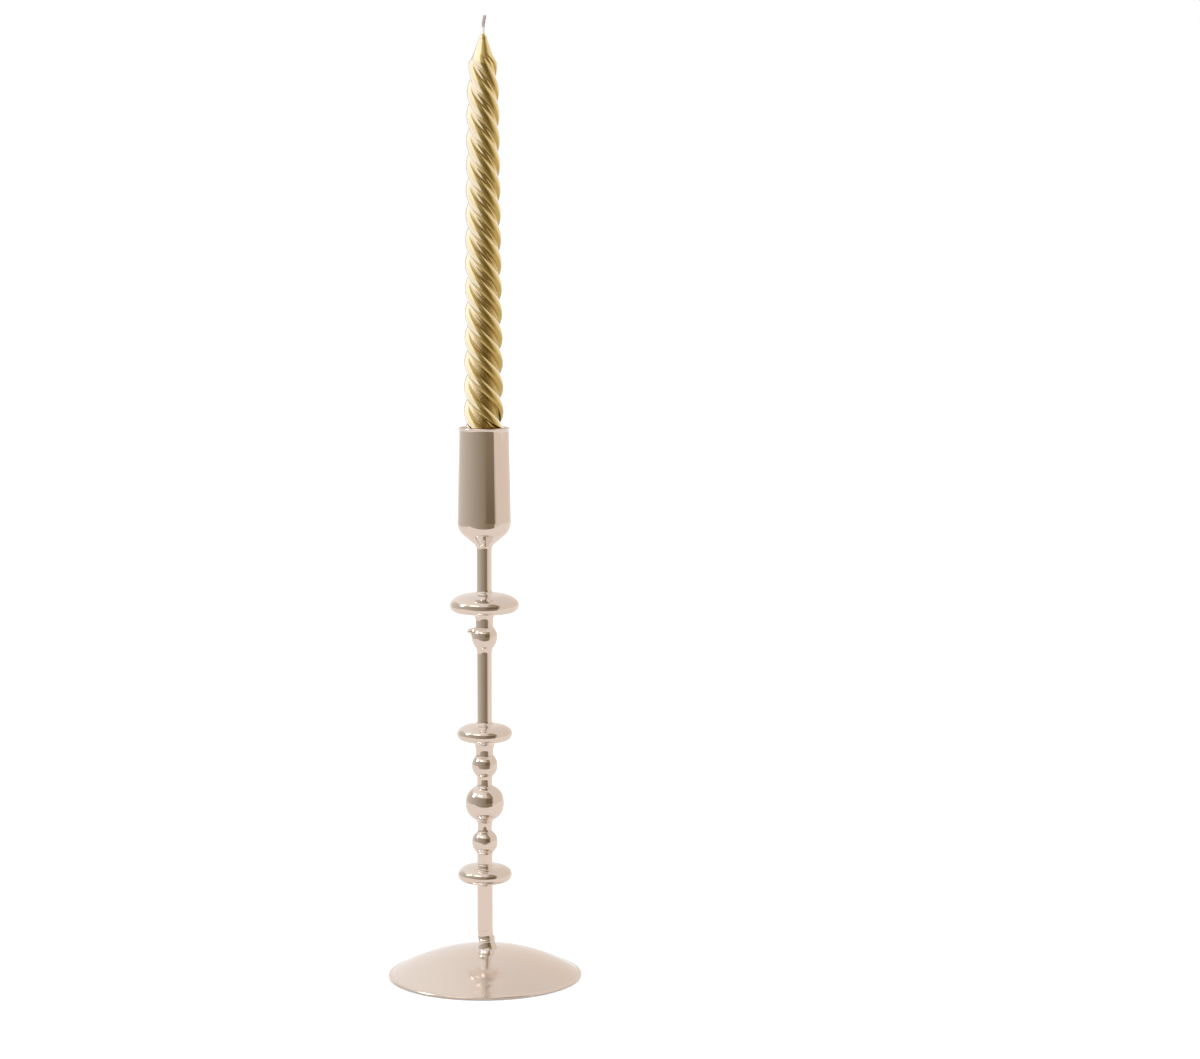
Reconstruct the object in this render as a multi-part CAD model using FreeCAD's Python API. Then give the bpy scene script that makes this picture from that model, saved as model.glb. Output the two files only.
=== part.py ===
"""Turned candlestick with a twisted taper candle, one STEP file for each piece.

Millimetres, +Z up. The origin is the centre of the felt pad's underside, where the candlestick
stands. The turned pieces are threaded on one tie rod like beads and clamped by a nut under the
foot. The candle stands loose in the cup.
"""

import FreeCAD, Part
import math
import os

Vector = FreeCAD.Vector
ORIGIN = Vector(0, 0, 0)
UP = Vector(0, 0, 1)
FULL_TURN = 360.0
QUARTER_TURN = math.pi / 2
NUT_SIDES = 6

# Tie rod, its nut and washers
rod_radius = 2.5
rod_thread_length = 13.0
rod_end_gap = 1.0
rod_tail = 1.0
bore_clearance = 0.2
thread_clearance = 0.05
washer_radius = 5.0
washer_thickness = 1.0
spring_washer_radius = 4.6
spring_washer_thickness = 1.2
spring_washer_slot = 0.8
nut_across_flats = 8.0
nut_height = 4.0
nut_recess_radius = 8.5
cut_overrun = 1.0

# Foot: felt pad, ballast and the domed shell over them
foot_radius = 52.6
foot_rim_gap = 0.4
foot_rim_height = 0.9
foot_rise = 15.05
foot_wall = 1.0
foot_nose = 0.5
foot_land_radius = 7.0
pad_inset = 3.6
pad_thickness = 1.2
ballast_inset = 8.6
ballast_clearance = 0.6

# Stem pieces from the foot up. A flare is how much a neck widens at its top, under a bead or disc
foot_collar_height = 10.0
foot_collar_radius = 6.2
foot_collar_offset = 0.9
foot_collar_ring_radius = 4.9
foot_collar_ring_height = 5.4
foot_collar_ring_width = 2.6

lower_stem_radius = 4.25
lower_stem_height = 26.3
lower_stem_flare = 0.35
lower_stem_flare_height = 2.0

lower_disc_radius = 14.75
lower_disc_below = 4.4
lower_disc_above = 5.5
lower_disc_edge = 3.8

neck_under_beads_radius = 4.2
neck_under_beads_height = 7.25
neck_under_beads_flare = 0.8
neck_under_beads_flare_height = 2.2

small_bead_radius = 7.0
small_bead_shoulder = 6.4
small_bead_straight = 1.0

neck_under_large_radius = 3.85
neck_under_large_height = 6.5
neck_under_large_flare = 1.25
neck_under_large_flare_height = 3.2

large_bead_radius = 10.5
large_bead_shoulder = 7.1
large_bead_straight = 4.6

neck_over_large_radius = 4.15
neck_over_large_height = 5.85
neck_over_large_flare = 0.8
neck_over_large_flare_height = 2.2

neck_over_beads_radius = 4.8
neck_over_beads_height = 6.95
neck_over_beads_flare = 0.35
neck_over_beads_flare_height = 2.0

middle_disc_radius = 15.0
middle_disc_below = 5.2
middle_disc_above = 5.6
middle_disc_edge = 3.6

middle_stem_radius = 4.05
middle_stem_height = 41.35
middle_stem_flare = 0.7
middle_stem_flare_height = 3.5

collar_bead_radius = 7.0
collar_bead_shoulder = 6.4
collar_bead_drop = 8.4
collar_spur_reach = 9.6
collar_spur_root = 3.0
collar_spur_tip = 0.7
collar_spur_rise = 3.3

top_neck_radius = 4.85
top_neck_height = 7.9
top_neck_flare = 0.25
top_neck_flare_height = 2.0

top_disc_radius = 18.75
top_disc_below = 4.4
top_disc_above = 6.9
top_disc_edge = 3.9

upper_stem_radius = 4.1
upper_stem_height = 23.0
upper_stem_flare = 0.1
upper_stem_flare_height = 2.0

# How full a disc's two faces are, and how often the end of its round nose is worked out anew
disc_top_bow_share = 0.09
disc_under_bow_share = 0.02
nose_rounds = 12

# Cup
cup_height = 66.0
cup_funnel_start_radius = 5.6
cup_funnel_start_height = 3.1
cup_funnel_end_radius = 11.9
cup_funnel_end_height = 8.4
cup_bulge_radius = 14.45
cup_bulge_height = 16.0
cup_waist_radius = 13.4
cup_lip_radius = 14.0
cup_lip_height = 2.2
cup_lip_round = 0.5
cup_floor_height = 23.0
cup_mouth_radius = 12.9
cup_floor_chamfer = 1.0
cup_root_bow_share = -0.13
cup_bulge_bow_share = 0.105
cup_lip_bow_share = -0.08
quarter_round_share = 0.207

# Candle and wick
candle_length = 250.0
candle_seat_radius = 10.45
candle_seat_clearance = 0.35
candle_seat_chamfer = 1.2
candle_crest_base_radius = 11.0
candle_crest_top_radius = 8.4
candle_groove_base_depth = 2.9
candle_groove_top_depth = 1.1
candle_lobes = 4
candle_lead = 52.2
candle_crest_mark = 8.8
candle_valley_half_degrees = 9.0
candle_shoulder_below_tip = 29.0
candle_shoulder_radius = 8.75
candle_shoulder_bow_share = 0.1
candle_shoulder_height = 8.5
candle_neck_radius = 7.5
candle_neck_height = 5.9
candle_cone_radius = 3.9
candle_cone_height = 9.6
candle_tip_radius = 1.6
candle_tip_bow_share = -0.06
candle_sink = 0.6
twist_tolerance = 0.05
twist_segments = 30
twist_degree = 5

wick_radius = 1.0
wick_clearance = 0.05
wick_showing = 10.8
wick_straight = 3.0
wick_bend_radius = 28.0

# Heights that follow from the sizes above
foot_shell_top = foot_rim_height + foot_rise
pad_radius = foot_radius - pad_inset
ballast_radius = foot_radius - ballast_inset
rod_bottom = pad_thickness + rod_tail
nut_bottom = rod_bottom + rod_tail
spring_washer_bottom = nut_bottom + nut_height
washer_bottom = spring_washer_bottom + spring_washer_thickness
recess_top = washer_bottom + washer_thickness
dome_radius = (foot_radius ** 2 + foot_rise ** 2) / (2 * foot_rise)
dome_centre = foot_shell_top - dome_radius


def dome_height(radius, inset):
    """Height of the foot's dome, or of a surface inset below it, at a radius."""
    return dome_centre + math.sqrt((dome_radius - inset) ** 2 - radius ** 2)


def bead_reach(radius, shoulder, straight_height, land_radius):
    """Height from a bead's middle to a flat land of a radius at its end."""
    return straight_height / 2 + math.sqrt(shoulder ** 2 - (land_radius - radius + shoulder) ** 2)


foot_land = dome_height(foot_land_radius, 0)
ballast_top = foot_land - foot_wall
lower_stem_bottom = foot_land + foot_collar_height
lower_disc_under_radius = lower_stem_radius + lower_stem_flare
lower_disc_bottom = lower_stem_bottom + lower_stem_height
neck_under_beads_bottom = lower_disc_bottom + lower_disc_below + lower_disc_above

lower_bead_bottom = neck_under_beads_bottom + neck_under_beads_height
lower_bead_under_radius = neck_under_beads_radius + neck_under_beads_flare
lower_bead_below = bead_reach(small_bead_radius, small_bead_shoulder, small_bead_straight,
                              lower_bead_under_radius)
lower_bead_above = bead_reach(small_bead_radius, small_bead_shoulder, small_bead_straight,
                              neck_under_large_radius)
neck_under_large_bottom = lower_bead_bottom + lower_bead_below + lower_bead_above

large_bead_bottom = neck_under_large_bottom + neck_under_large_height
large_bead_under_radius = neck_under_large_radius + neck_under_large_flare
large_bead_below = bead_reach(large_bead_radius, large_bead_shoulder, large_bead_straight,
                              large_bead_under_radius)
large_bead_above = bead_reach(large_bead_radius, large_bead_shoulder, large_bead_straight,
                              neck_over_large_radius)
neck_over_large_bottom = large_bead_bottom + large_bead_below + large_bead_above

upper_bead_bottom = neck_over_large_bottom + neck_over_large_height
upper_bead_under_radius = neck_over_large_radius + neck_over_large_flare
upper_bead_below = bead_reach(small_bead_radius, small_bead_shoulder, small_bead_straight,
                              upper_bead_under_radius)
upper_bead_above = bead_reach(small_bead_radius, small_bead_shoulder, small_bead_straight,
                              neck_over_beads_radius)
neck_over_beads_bottom = upper_bead_bottom + upper_bead_below + upper_bead_above

middle_disc_bottom = neck_over_beads_bottom + neck_over_beads_height
middle_disc_under_radius = neck_over_beads_radius + neck_over_beads_flare
middle_stem_bottom = middle_disc_bottom + middle_disc_below + middle_disc_above

collar_bead_bottom = middle_stem_bottom + middle_stem_height
collar_bead_under_radius = middle_stem_radius + middle_stem_flare
collar_bead_under_angle = math.asin(collar_bead_under_radius / collar_bead_radius)
collar_bead_middle = collar_bead_bottom + collar_bead_drop * math.cos(collar_bead_under_angle)
top_neck_bottom = collar_bead_middle + bead_reach(collar_bead_radius, collar_bead_shoulder, 0,
                                                  top_neck_radius)

top_disc_bottom = top_neck_bottom + top_neck_height
top_disc_under_radius = top_neck_radius + top_neck_flare
upper_stem_bottom = top_disc_bottom + top_disc_below + top_disc_above
cup_bottom = upper_stem_bottom + upper_stem_height
cup_root_radius = upper_stem_radius + upper_stem_flare
cup_rim = cup_bottom + cup_height
cup_floor = cup_bottom + cup_floor_height
rod_top = cup_bottom + rod_thread_length
candle_tip = cup_floor + candle_length


def spot(radius, height):
    """A point of a turned outline."""
    return Vector(radius, 0, height)


def straight(start, end):
    """A straight stretch of a turned outline."""
    return Part.makeLine(start, end)


def bowed(start, end, share):
    """An arc from start to end whose middle stands off the chord by a share of its length.

    Going up, a positive share bows away from the axis.
    """
    chord = end - start
    middle = (start + end) * 0.5 + Vector(chord.z, 0, -chord.x) * share
    return Part.Arc(start, middle, end).toShape()


def turned(edges):
    """The solid that a closed outline sweeps in one turn about the axis."""
    return Part.Face(Part.Wire(edges)).revolve(ORIGIN, UP, FULL_TURN)


def outline(points, bows=()):
    """Edges through points in order and back to the first.

    bows gives each edge its share, or None for a straight one; edges past its end are straight.
    """
    edges = []
    for index, start in enumerate(points):
        end = points[(index + 1) % len(points)]
        share = bows[index] if index < len(bows) else None
        edges.append(straight(start, end) if share is None else bowed(start, end, share))
    return edges


def cylinder(radius, bottom, top):
    """A solid cylinder on the axis."""
    return Part.makeCylinder(radius, top - bottom, Vector(0, 0, bottom))


def ring(outer_radius, inner_radius, bottom, height):
    """A flat ring on the axis."""
    hole = cylinder(inner_radius, bottom - cut_overrun, bottom + height + cut_overrun)
    return cylinder(outer_radius, bottom, bottom + height).cut(hole)


def stem(bottom, height, radius, flare, flare_height):
    """A tube on the tie rod whose wall curves outwards at its top."""
    bore = rod_radius + bore_clearance
    top = bottom + height
    start = spot(radius, top - flare_height)
    curve_radius = (flare ** 2 + flare_height ** 2) / (2 * flare)
    turn = math.asin(flare_height / curve_radius) / 2
    middle = start + spot(curve_radius * (1 - math.cos(turn)), curve_radius * math.sin(turn))
    return turned([
        straight(spot(bore, bottom), spot(radius, bottom)),
        straight(spot(radius, bottom), start),
        Part.Arc(start, middle, spot(radius + flare, top)).toShape(),
        straight(spot(radius + flare, top), spot(bore, top)),
        straight(spot(bore, top), spot(bore, bottom)),
    ])


def shoulder_arc(radius, shoulder, height, land_radius, land_height):
    """A bead's round shoulder, from its widest place at a height to the land at its end."""
    centre = spot(radius - shoulder, height)
    reach = land_height - height
    half = math.atan2(reach, land_radius - centre.x) / 2
    middle = centre + spot(shoulder * math.cos(half), shoulder * math.sin(half))
    return Part.Arc(spot(radius, height), middle, spot(land_radius, land_height)).toShape()


def bead(bottom, below, above, radius, shoulder, straight_height, under_radius, over_radius):
    """A full-shouldered bead bored for the tie rod, with a flat land at each end."""
    bore = rod_radius + bore_clearance
    low = bottom + below - straight_height / 2
    high = bottom + below + straight_height / 2
    top = bottom + below + above
    return turned([
        straight(spot(bore, bottom), spot(under_radius, bottom)),
        shoulder_arc(radius, shoulder, low, under_radius, bottom),
        straight(spot(radius, low), spot(radius, high)),
        shoulder_arc(radius, shoulder, high, over_radius, top),
        straight(spot(over_radius, top), spot(bore, top)),
        straight(spot(bore, top), spot(bore, bottom)),
    ])


def nose_angle(radius, edge, reach, land_radius, share):
    """How far round the nose goes before a bowed face runs on from it without a crease."""
    angle = QUARTER_TURN
    for _ in range(nose_rounds):
        across = radius - edge + edge * math.cos(angle) - land_radius
        slope = math.atan2(reach - edge * math.sin(angle), across)
        angle = QUARTER_TURN - slope - 2 * math.atan(2 * share)
    return angle


def disc(bottom, below, above, radius, edge, under_radius, over_radius):
    """A disc with full faces and a round nose, bored for the tie rod."""
    bore = rod_radius + bore_clearance
    under = nose_angle(radius, edge, below, under_radius, disc_under_bow_share)
    over = nose_angle(radius, edge, above, over_radius, disc_top_bow_share)
    centre = spot(radius - edge, bottom + below)
    low = centre + spot(edge * math.cos(under), -edge * math.sin(under))
    high = centre + spot(edge * math.cos(over), edge * math.sin(over))
    top = bottom + below + above
    return turned([
        straight(spot(bore, bottom), spot(under_radius, bottom)),
        bowed(spot(under_radius, bottom), low, disc_under_bow_share),
        Part.Arc(low, centre + spot(edge, 0), high).toShape(),
        bowed(high, spot(over_radius, top), disc_top_bow_share),
        straight(spot(over_radius, top), spot(bore, top)),
        straight(spot(bore, top), spot(bore, bottom)),
    ])


def felt_pad():
    """Felt disc glued under the ballast; its underside is what the candlestick stands on."""
    return cylinder(pad_radius, 0, pad_thickness)


def ballast():
    """Cast weight with a conical crown that fills the dome, recessed underneath for the nut."""
    inset = foot_wall + ballast_clearance
    bore = rod_radius + bore_clearance
    land_radius = foot_land_radius - ballast_clearance
    return turned(outline([
        spot(ballast_radius, dome_height(ballast_radius, inset)),
        spot(foot_land_radius, dome_height(foot_land_radius, inset)),
        spot(land_radius, dome_height(foot_land_radius, inset)),
        spot(land_radius, ballast_top),
        spot(bore, ballast_top),
        spot(bore, recess_top),
        spot(nut_recess_radius, recess_top),
        spot(nut_recess_radius, pad_thickness),
        spot(ballast_radius, pad_thickness),
    ]))


def foot_shell():
    """Thin spun dome with a rounded rim and a flat land round its hole."""
    bore = rod_radius + bore_clearance
    rim_radius = foot_radius - foot_nose
    rim_top = dome_height(rim_radius, 0)
    half_radius = (rim_radius + foot_land_radius) / 2
    inner_rise = foot_rim_gap - dome_centre
    inner_rim_radius = math.sqrt((dome_radius - foot_wall) ** 2 - inner_rise ** 2)
    inner_half_radius = (inner_rim_radius + foot_land_radius) / 2
    under_land = foot_land - foot_wall
    inner_land = dome_height(foot_land_radius, foot_wall)
    nose_height = (rim_top + foot_rim_gap) / 2
    return turned([
        straight(spot(bore, foot_land), spot(foot_land_radius, foot_land)),
        Part.Arc(
            spot(foot_land_radius, foot_land),
            spot(half_radius, dome_height(half_radius, 0)),
            spot(rim_radius, rim_top),
        ).toShape(),
        Part.Arc(
            spot(rim_radius, rim_top), spot(foot_radius, nose_height), spot(rim_radius, foot_rim_gap)
        ).toShape(),
        straight(spot(rim_radius, foot_rim_gap), spot(inner_rim_radius, foot_rim_gap)),
        Part.Arc(
            spot(inner_rim_radius, foot_rim_gap),
            spot(inner_half_radius, dome_height(inner_half_radius, foot_wall)),
            spot(foot_land_radius, inner_land),
        ).toShape(),
        straight(spot(foot_land_radius, inner_land), spot(foot_land_radius, under_land)),
        straight(spot(foot_land_radius, under_land), spot(bore, under_land)),
        straight(spot(bore, under_land), spot(bore, foot_land)),
    ])


def circle_wire(radius, offset, height):
    """A level circle whose centre stands off the axis along +X."""
    return Part.Wire(Part.makeCircle(radius, Vector(offset, 0, height), UP))


def foot_collar():
    """Flared collar on the dome, fuller on its +X side, with a small ring round it."""
    flare = Part.makeLoft([
        circle_wire(foot_collar_radius, foot_collar_offset, foot_land),
        circle_wire(lower_stem_radius, 0, lower_stem_bottom),
    ], True, True)
    middle = foot_land + foot_collar_ring_height
    half_width = foot_collar_ring_width / 2
    band = turned([
        straight(spot(0, middle - half_width), spot(lower_stem_radius, middle - half_width)),
        Part.Arc(
            spot(lower_stem_radius, middle - half_width),
            spot(foot_collar_ring_radius, middle),
            spot(lower_stem_radius, middle + half_width),
        ).toShape(),
        straight(spot(lower_stem_radius, middle + half_width), spot(0, middle + half_width)),
        straight(spot(0, middle + half_width), spot(0, middle - half_width)),
    ])
    bore = cylinder(rod_radius + bore_clearance, foot_land - cut_overrun, lower_stem_bottom + cut_overrun)
    return flare.fuse(band).cut(bore)


def collar_bead():
    """Drop-shaped bead under the top neck, with a short drawn-out spur on its -X side."""
    bore = rod_radius + bore_clearance
    centre = spot(0, collar_bead_middle)
    drop = Part.Ellipse(centre - UP * collar_bead_drop, centre + spot(collar_bead_radius, 0), centre)
    body = turned([
        straight(spot(bore, collar_bead_bottom), spot(collar_bead_under_radius, collar_bead_bottom)),
        Part.ArcOfEllipse(drop, collar_bead_under_angle, QUARTER_TURN).toShape(),
        shoulder_arc(collar_bead_radius, collar_bead_shoulder, collar_bead_middle,
                     top_neck_radius, top_neck_bottom),
        straight(spot(top_neck_radius, top_neck_bottom), spot(bore, top_neck_bottom)),
        straight(spot(bore, top_neck_bottom), spot(bore, collar_bead_bottom)),
    ])
    height = collar_bead_middle + collar_spur_rise
    root = Vector(-rod_radius - collar_spur_root, 0, height - collar_spur_root / 2)
    tip = Vector(collar_spur_tip - collar_spur_reach, 0, height)
    axis = tip - root
    spur = Part.makeCone(collar_spur_root, collar_spur_tip, axis.Length, root, axis)
    spur = spur.fuse(Part.makeSphere(collar_spur_tip, tip))
    return body.fuse(spur.cut(cylinder(bore, collar_bead_bottom, top_neck_bottom)))


def candle_cup():
    """Cup with a tapered socket above and a blind thread for the tie rod below."""
    thread = rod_radius + thread_clearance
    thread_top = rod_top + rod_end_gap
    seat = candle_seat_radius + candle_seat_clearance
    points = [
        spot(thread, cup_bottom),
        spot(cup_root_radius, cup_bottom),
        spot(cup_funnel_start_radius, cup_bottom + cup_funnel_start_height),
        spot(cup_funnel_end_radius, cup_bottom + cup_funnel_end_height),
        spot(cup_bulge_radius, cup_bottom + cup_bulge_height),
        spot(cup_waist_radius, cup_rim - cup_lip_height),
        spot(cup_lip_radius, cup_rim - cup_lip_round),
        spot(cup_lip_radius - cup_lip_round, cup_rim),
        spot(cup_mouth_radius, cup_rim),
        spot(seat, cup_floor + cup_floor_chamfer),
        spot(seat - cup_floor_chamfer, cup_floor),
        spot(0, cup_floor),
        spot(0, thread_top),
        spot(thread, thread_top),
    ]
    bows = [None, cup_root_bow_share, None, cup_bulge_bow_share, None, cup_lip_bow_share,
            quarter_round_share]
    return turned(outline(points, bows))


def tie_rod():
    """Rod from the nut to the cup's thread."""
    return cylinder(rod_radius, rod_bottom, rod_top)


def flat_washer():
    """Flat washer against the ballast."""
    return ring(washer_radius, rod_radius + bore_clearance, washer_bottom, washer_thickness)


def spring_washer():
    """Split spring washer, pressed flat."""
    body = ring(spring_washer_radius, rod_radius + bore_clearance, spring_washer_bottom,
                spring_washer_thickness)
    reach = spring_washer_radius + cut_overrun
    depth = spring_washer_thickness + 2 * cut_overrun
    corner = Vector(0, -spring_washer_slot / 2, spring_washer_bottom - cut_overrun)
    return body.cut(Part.makeBox(reach, spring_washer_slot, depth, corner))


def hex_nut():
    """Hexagon nut on the tie rod."""
    corner_radius = nut_across_flats / 2 / math.cos(math.pi / NUT_SIDES)
    corners = []
    for side in range(NUT_SIDES + 1):
        angle = 2 * math.pi * side / NUT_SIDES
        corners.append(Vector(corner_radius * math.cos(angle), corner_radius * math.sin(angle), nut_bottom))
    prism = Part.Face(Part.makePolygon(corners)).extrude(Vector(0, 0, nut_height))
    hole = cylinder(rod_radius + thread_clearance, nut_bottom - cut_overrun,
                    spring_washer_bottom + cut_overrun)
    return prism.cut(hole)


def twist_at(height):
    """Angle of the candle's first lobe at a height; the lobes run down to the right."""
    return -2 * math.pi * (height - cup_rim - candle_crest_mark) / candle_lead


def polar(radius, angle, height):
    """A point round the axis."""
    return Vector(radius * math.cos(angle), radius * math.sin(angle), height)


def lobed_section(crest_radius, groove_depth, turn, height):
    """The candle's section: round lobes with a flat valley between each two."""
    step = 2 * math.pi / candle_lobes
    half = step / 2 - math.radians(candle_valley_half_degrees)
    valley = crest_radius - groove_depth
    edges = []
    for lobe in range(candle_lobes):
        crest = turn + step * lobe
        start = polar(valley, crest - half, height)
        end = polar(valley, crest + half, height)
        following = polar(valley, crest + step - half, height)
        edges.append(Part.Arc(start, polar(crest_radius, crest, height), end).toShape())
        edges.append(straight(end, following))
    return Part.Wire(edges)


def twisted_bar(bottom, top):
    """The tapering lobed section swept up the axis and turned by a left-hand helix."""
    rise = top - bottom
    spine = Part.Wire(Part.makeLine(Vector(0, 0, bottom), Vector(0, 0, top)))
    guide = Part.makeLongHelix(candle_lead, rise, candle_crest_base_radius, 0, True)
    guide.translate(Vector(0, 0, bottom))
    first = lobed_section(candle_crest_base_radius, candle_groove_base_depth, 0, bottom)
    last = lobed_section(candle_crest_top_radius, candle_groove_top_depth,
                         twist_at(top) - twist_at(bottom), top)
    sweep = Part.BRepOffsetAPI.MakePipeShell(spine)
    sweep.setAuxiliarySpine(guide, False, 0)
    sweep.setTolerance(twist_tolerance, twist_tolerance, twist_tolerance)
    sweep.setMaxSegments(twist_segments)
    sweep.setMaxDegree(twist_degree)
    sweep.add(first, False, False)
    sweep.add(last, False, False)
    sweep.build()
    sweep.makeSolid()
    bar = sweep.shape()
    bar.rotate(ORIGIN, UP, math.degrees(twist_at(bottom)))
    return bar


def candle_envelope(bottom):
    """Turned outline that rounds the twisted bar off into a shoulder, a neck and a cone."""
    shoulder = candle_tip - candle_shoulder_below_tip
    neck = shoulder + candle_shoulder_height
    cone = neck + candle_neck_height
    cone_end = cone + candle_cone_height
    wide = candle_crest_base_radius + cut_overrun
    points = [
        spot(0, bottom),
        spot(wide, bottom),
        spot(wide, shoulder),
        spot(candle_shoulder_radius, shoulder),
        spot(candle_neck_radius, neck),
        spot(candle_neck_radius, cone),
        spot(candle_cone_radius, cone_end),
        spot(candle_tip_radius, candle_tip),
        spot(0, candle_tip),
    ]
    bows = [None, None, None, candle_shoulder_bow_share, None, None, candle_tip_bow_share]
    return turned(outline(points, bows))


def candle():
    """Twisted taper candle: plain seat, four twisted lobes and a smooth cone."""
    bar_bottom = cup_rim - candle_sink
    bar = twisted_bar(bar_bottom, candle_tip + cut_overrun)
    body = bar.common(candle_envelope(bar_bottom - cut_overrun))
    seat = turned(outline([
        spot(0, cup_floor),
        spot(candle_seat_radius - candle_seat_chamfer, cup_floor),
        spot(candle_seat_radius, cup_floor + candle_seat_chamfer),
        spot(candle_seat_radius, cup_rim),
        spot(0, cup_rim),
    ]))
    bore = cylinder(wick_radius + wick_clearance, cup_floor - cut_overrun, candle_tip + cut_overrun)
    return body.fuse(seat).cut(bore)


def wick():
    """Wick through the whole candle, straight inside the wax and leaning to +X above it."""
    start = Vector(0, 0, cup_floor)
    bend = Vector(0, 0, candle_tip + wick_straight)
    angle = (wick_showing - wick_straight) / wick_bend_radius
    middle = bend + Vector(wick_bend_radius * (1 - math.cos(angle / 2)), 0,
                           wick_bend_radius * math.sin(angle / 2))
    end = bend + Vector(wick_bend_radius * (1 - math.cos(angle)), 0, wick_bend_radius * math.sin(angle))
    path = Part.Wire([straight(start, bend), Part.Arc(bend, middle, end).toShape()])
    section = Part.Wire(Part.makeCircle(wick_radius, start, UP))
    return path.makePipeShell([section], True, True)


def build_stem():
    """The stacked pieces between the foot and the cup, by node name."""
    return {
        "foot_collar": foot_collar(),
        "lower_stem": stem(lower_stem_bottom, lower_stem_height, lower_stem_radius,
                           lower_stem_flare, lower_stem_flare_height),
        "lower_disc": disc(lower_disc_bottom, lower_disc_below, lower_disc_above, lower_disc_radius,
                           lower_disc_edge, lower_disc_under_radius, neck_under_beads_radius),
        "neck_under_beads": stem(neck_under_beads_bottom, neck_under_beads_height,
                                 neck_under_beads_radius, neck_under_beads_flare,
                                 neck_under_beads_flare_height),
        "lower_small_bead": bead(lower_bead_bottom, lower_bead_below, lower_bead_above,
                                 small_bead_radius, small_bead_shoulder, small_bead_straight,
                                 lower_bead_under_radius, neck_under_large_radius),
        "neck_under_large_bead": stem(neck_under_large_bottom, neck_under_large_height,
                                      neck_under_large_radius, neck_under_large_flare,
                                      neck_under_large_flare_height),
        "large_bead": bead(large_bead_bottom, large_bead_below, large_bead_above,
                           large_bead_radius, large_bead_shoulder, large_bead_straight,
                           large_bead_under_radius, neck_over_large_radius),
        "neck_over_large_bead": stem(neck_over_large_bottom, neck_over_large_height,
                                     neck_over_large_radius, neck_over_large_flare,
                                     neck_over_large_flare_height),
        "upper_small_bead": bead(upper_bead_bottom, upper_bead_below, upper_bead_above,
                                 small_bead_radius, small_bead_shoulder, small_bead_straight,
                                 upper_bead_under_radius, neck_over_beads_radius),
        "neck_over_beads": stem(neck_over_beads_bottom, neck_over_beads_height,
                                neck_over_beads_radius, neck_over_beads_flare,
                                neck_over_beads_flare_height),
        "middle_disc": disc(middle_disc_bottom, middle_disc_below, middle_disc_above,
                            middle_disc_radius, middle_disc_edge, middle_disc_under_radius,
                            middle_stem_radius),
        "middle_stem": stem(middle_stem_bottom, middle_stem_height, middle_stem_radius,
                            middle_stem_flare, middle_stem_flare_height),
        "collar_bead": collar_bead(),
        "top_neck": stem(top_neck_bottom, top_neck_height, top_neck_radius, top_neck_flare,
                         top_neck_flare_height),
        "top_disc": disc(top_disc_bottom, top_disc_below, top_disc_above, top_disc_radius,
                         top_disc_edge, top_disc_under_radius, upper_stem_radius),
        "upper_stem": stem(upper_stem_bottom, upper_stem_height, upper_stem_radius,
                           upper_stem_flare, upper_stem_flare_height),
    }


def build_pieces():
    """Every piece of the candlestick by its node name."""
    pieces = {
        "felt_pad": felt_pad(),
        "ballast": ballast(),
        "foot_shell": foot_shell(),
    }
    pieces.update(build_stem())
    pieces.update({
        "candle_cup": candle_cup(),
        "tie_rod": tie_rod(),
        "flat_washer": flat_washer(),
        "spring_washer": spring_washer(),
        "hex_nut": hex_nut(),
        "candle": candle(),
        "wick": wick(),
    })
    return pieces


def main():
    """Build every piece and write its STEP file."""
    os.makedirs("parts", exist_ok=True)
    for name, shape in build_pieces().items():
        shape.exportStep("parts/" + name + ".step")
        print(name, len(shape.Solids), "solid", round(shape.Volume), "cubic mm")


main()
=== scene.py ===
"""Looks for a turned champagne-plated candlestick that holds a gold twisted taper candle.

The plated pieces are turned again here as smooth meshes in the place of the CAD nodes. The candle
and its wick come from Geometry Nodes trees. Heights and widths are taken from the CAD nodes' boxes,
so the looks follow the CAD part. Lengths are millimetres in the object's fields and metres in the
studio's.
"""

import logging
import math
from dataclasses import dataclass, field, replace
from enum import Enum

import bmesh
import bpy
from mathutils import Euler, Matrix, Vector

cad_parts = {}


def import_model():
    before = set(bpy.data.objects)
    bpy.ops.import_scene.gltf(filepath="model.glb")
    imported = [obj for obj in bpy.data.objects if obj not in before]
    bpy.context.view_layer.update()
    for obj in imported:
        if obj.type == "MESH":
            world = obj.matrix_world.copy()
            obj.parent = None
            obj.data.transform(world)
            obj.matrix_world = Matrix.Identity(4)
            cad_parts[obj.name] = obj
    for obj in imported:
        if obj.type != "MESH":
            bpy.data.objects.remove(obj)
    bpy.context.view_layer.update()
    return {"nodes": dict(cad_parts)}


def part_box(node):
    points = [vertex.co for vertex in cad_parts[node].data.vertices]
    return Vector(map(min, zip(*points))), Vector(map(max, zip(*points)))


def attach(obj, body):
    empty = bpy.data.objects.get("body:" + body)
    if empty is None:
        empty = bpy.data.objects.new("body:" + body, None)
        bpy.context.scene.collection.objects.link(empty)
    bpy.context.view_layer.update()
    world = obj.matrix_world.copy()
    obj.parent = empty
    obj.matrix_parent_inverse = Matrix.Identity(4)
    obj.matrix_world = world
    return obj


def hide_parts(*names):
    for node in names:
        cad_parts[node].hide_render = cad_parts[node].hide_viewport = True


LOG = logging.getLogger("candlestick")
MM = 0.001
WELD = 0.002 * MM
FULL_TURN = 2 * math.pi
QUARTER_BOW = 0.207
HANDLE_SHARE = 0.42
WHITE = (1.0, 1.0, 1.0, 1.0)

Point = tuple[float, float]
Colour = tuple[float, float, float]
Inputs = dict[str | int, object]


class Slot(Enum):
    """Material slots of the record."""

    PLATE = "champagne_plate"
    BALLAST = "cast_ballast"
    FELT = "felt"
    STEEL = "zinc_steel"
    WAX = "gold_wax"
    COTTON = "wick_cotton"


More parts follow.
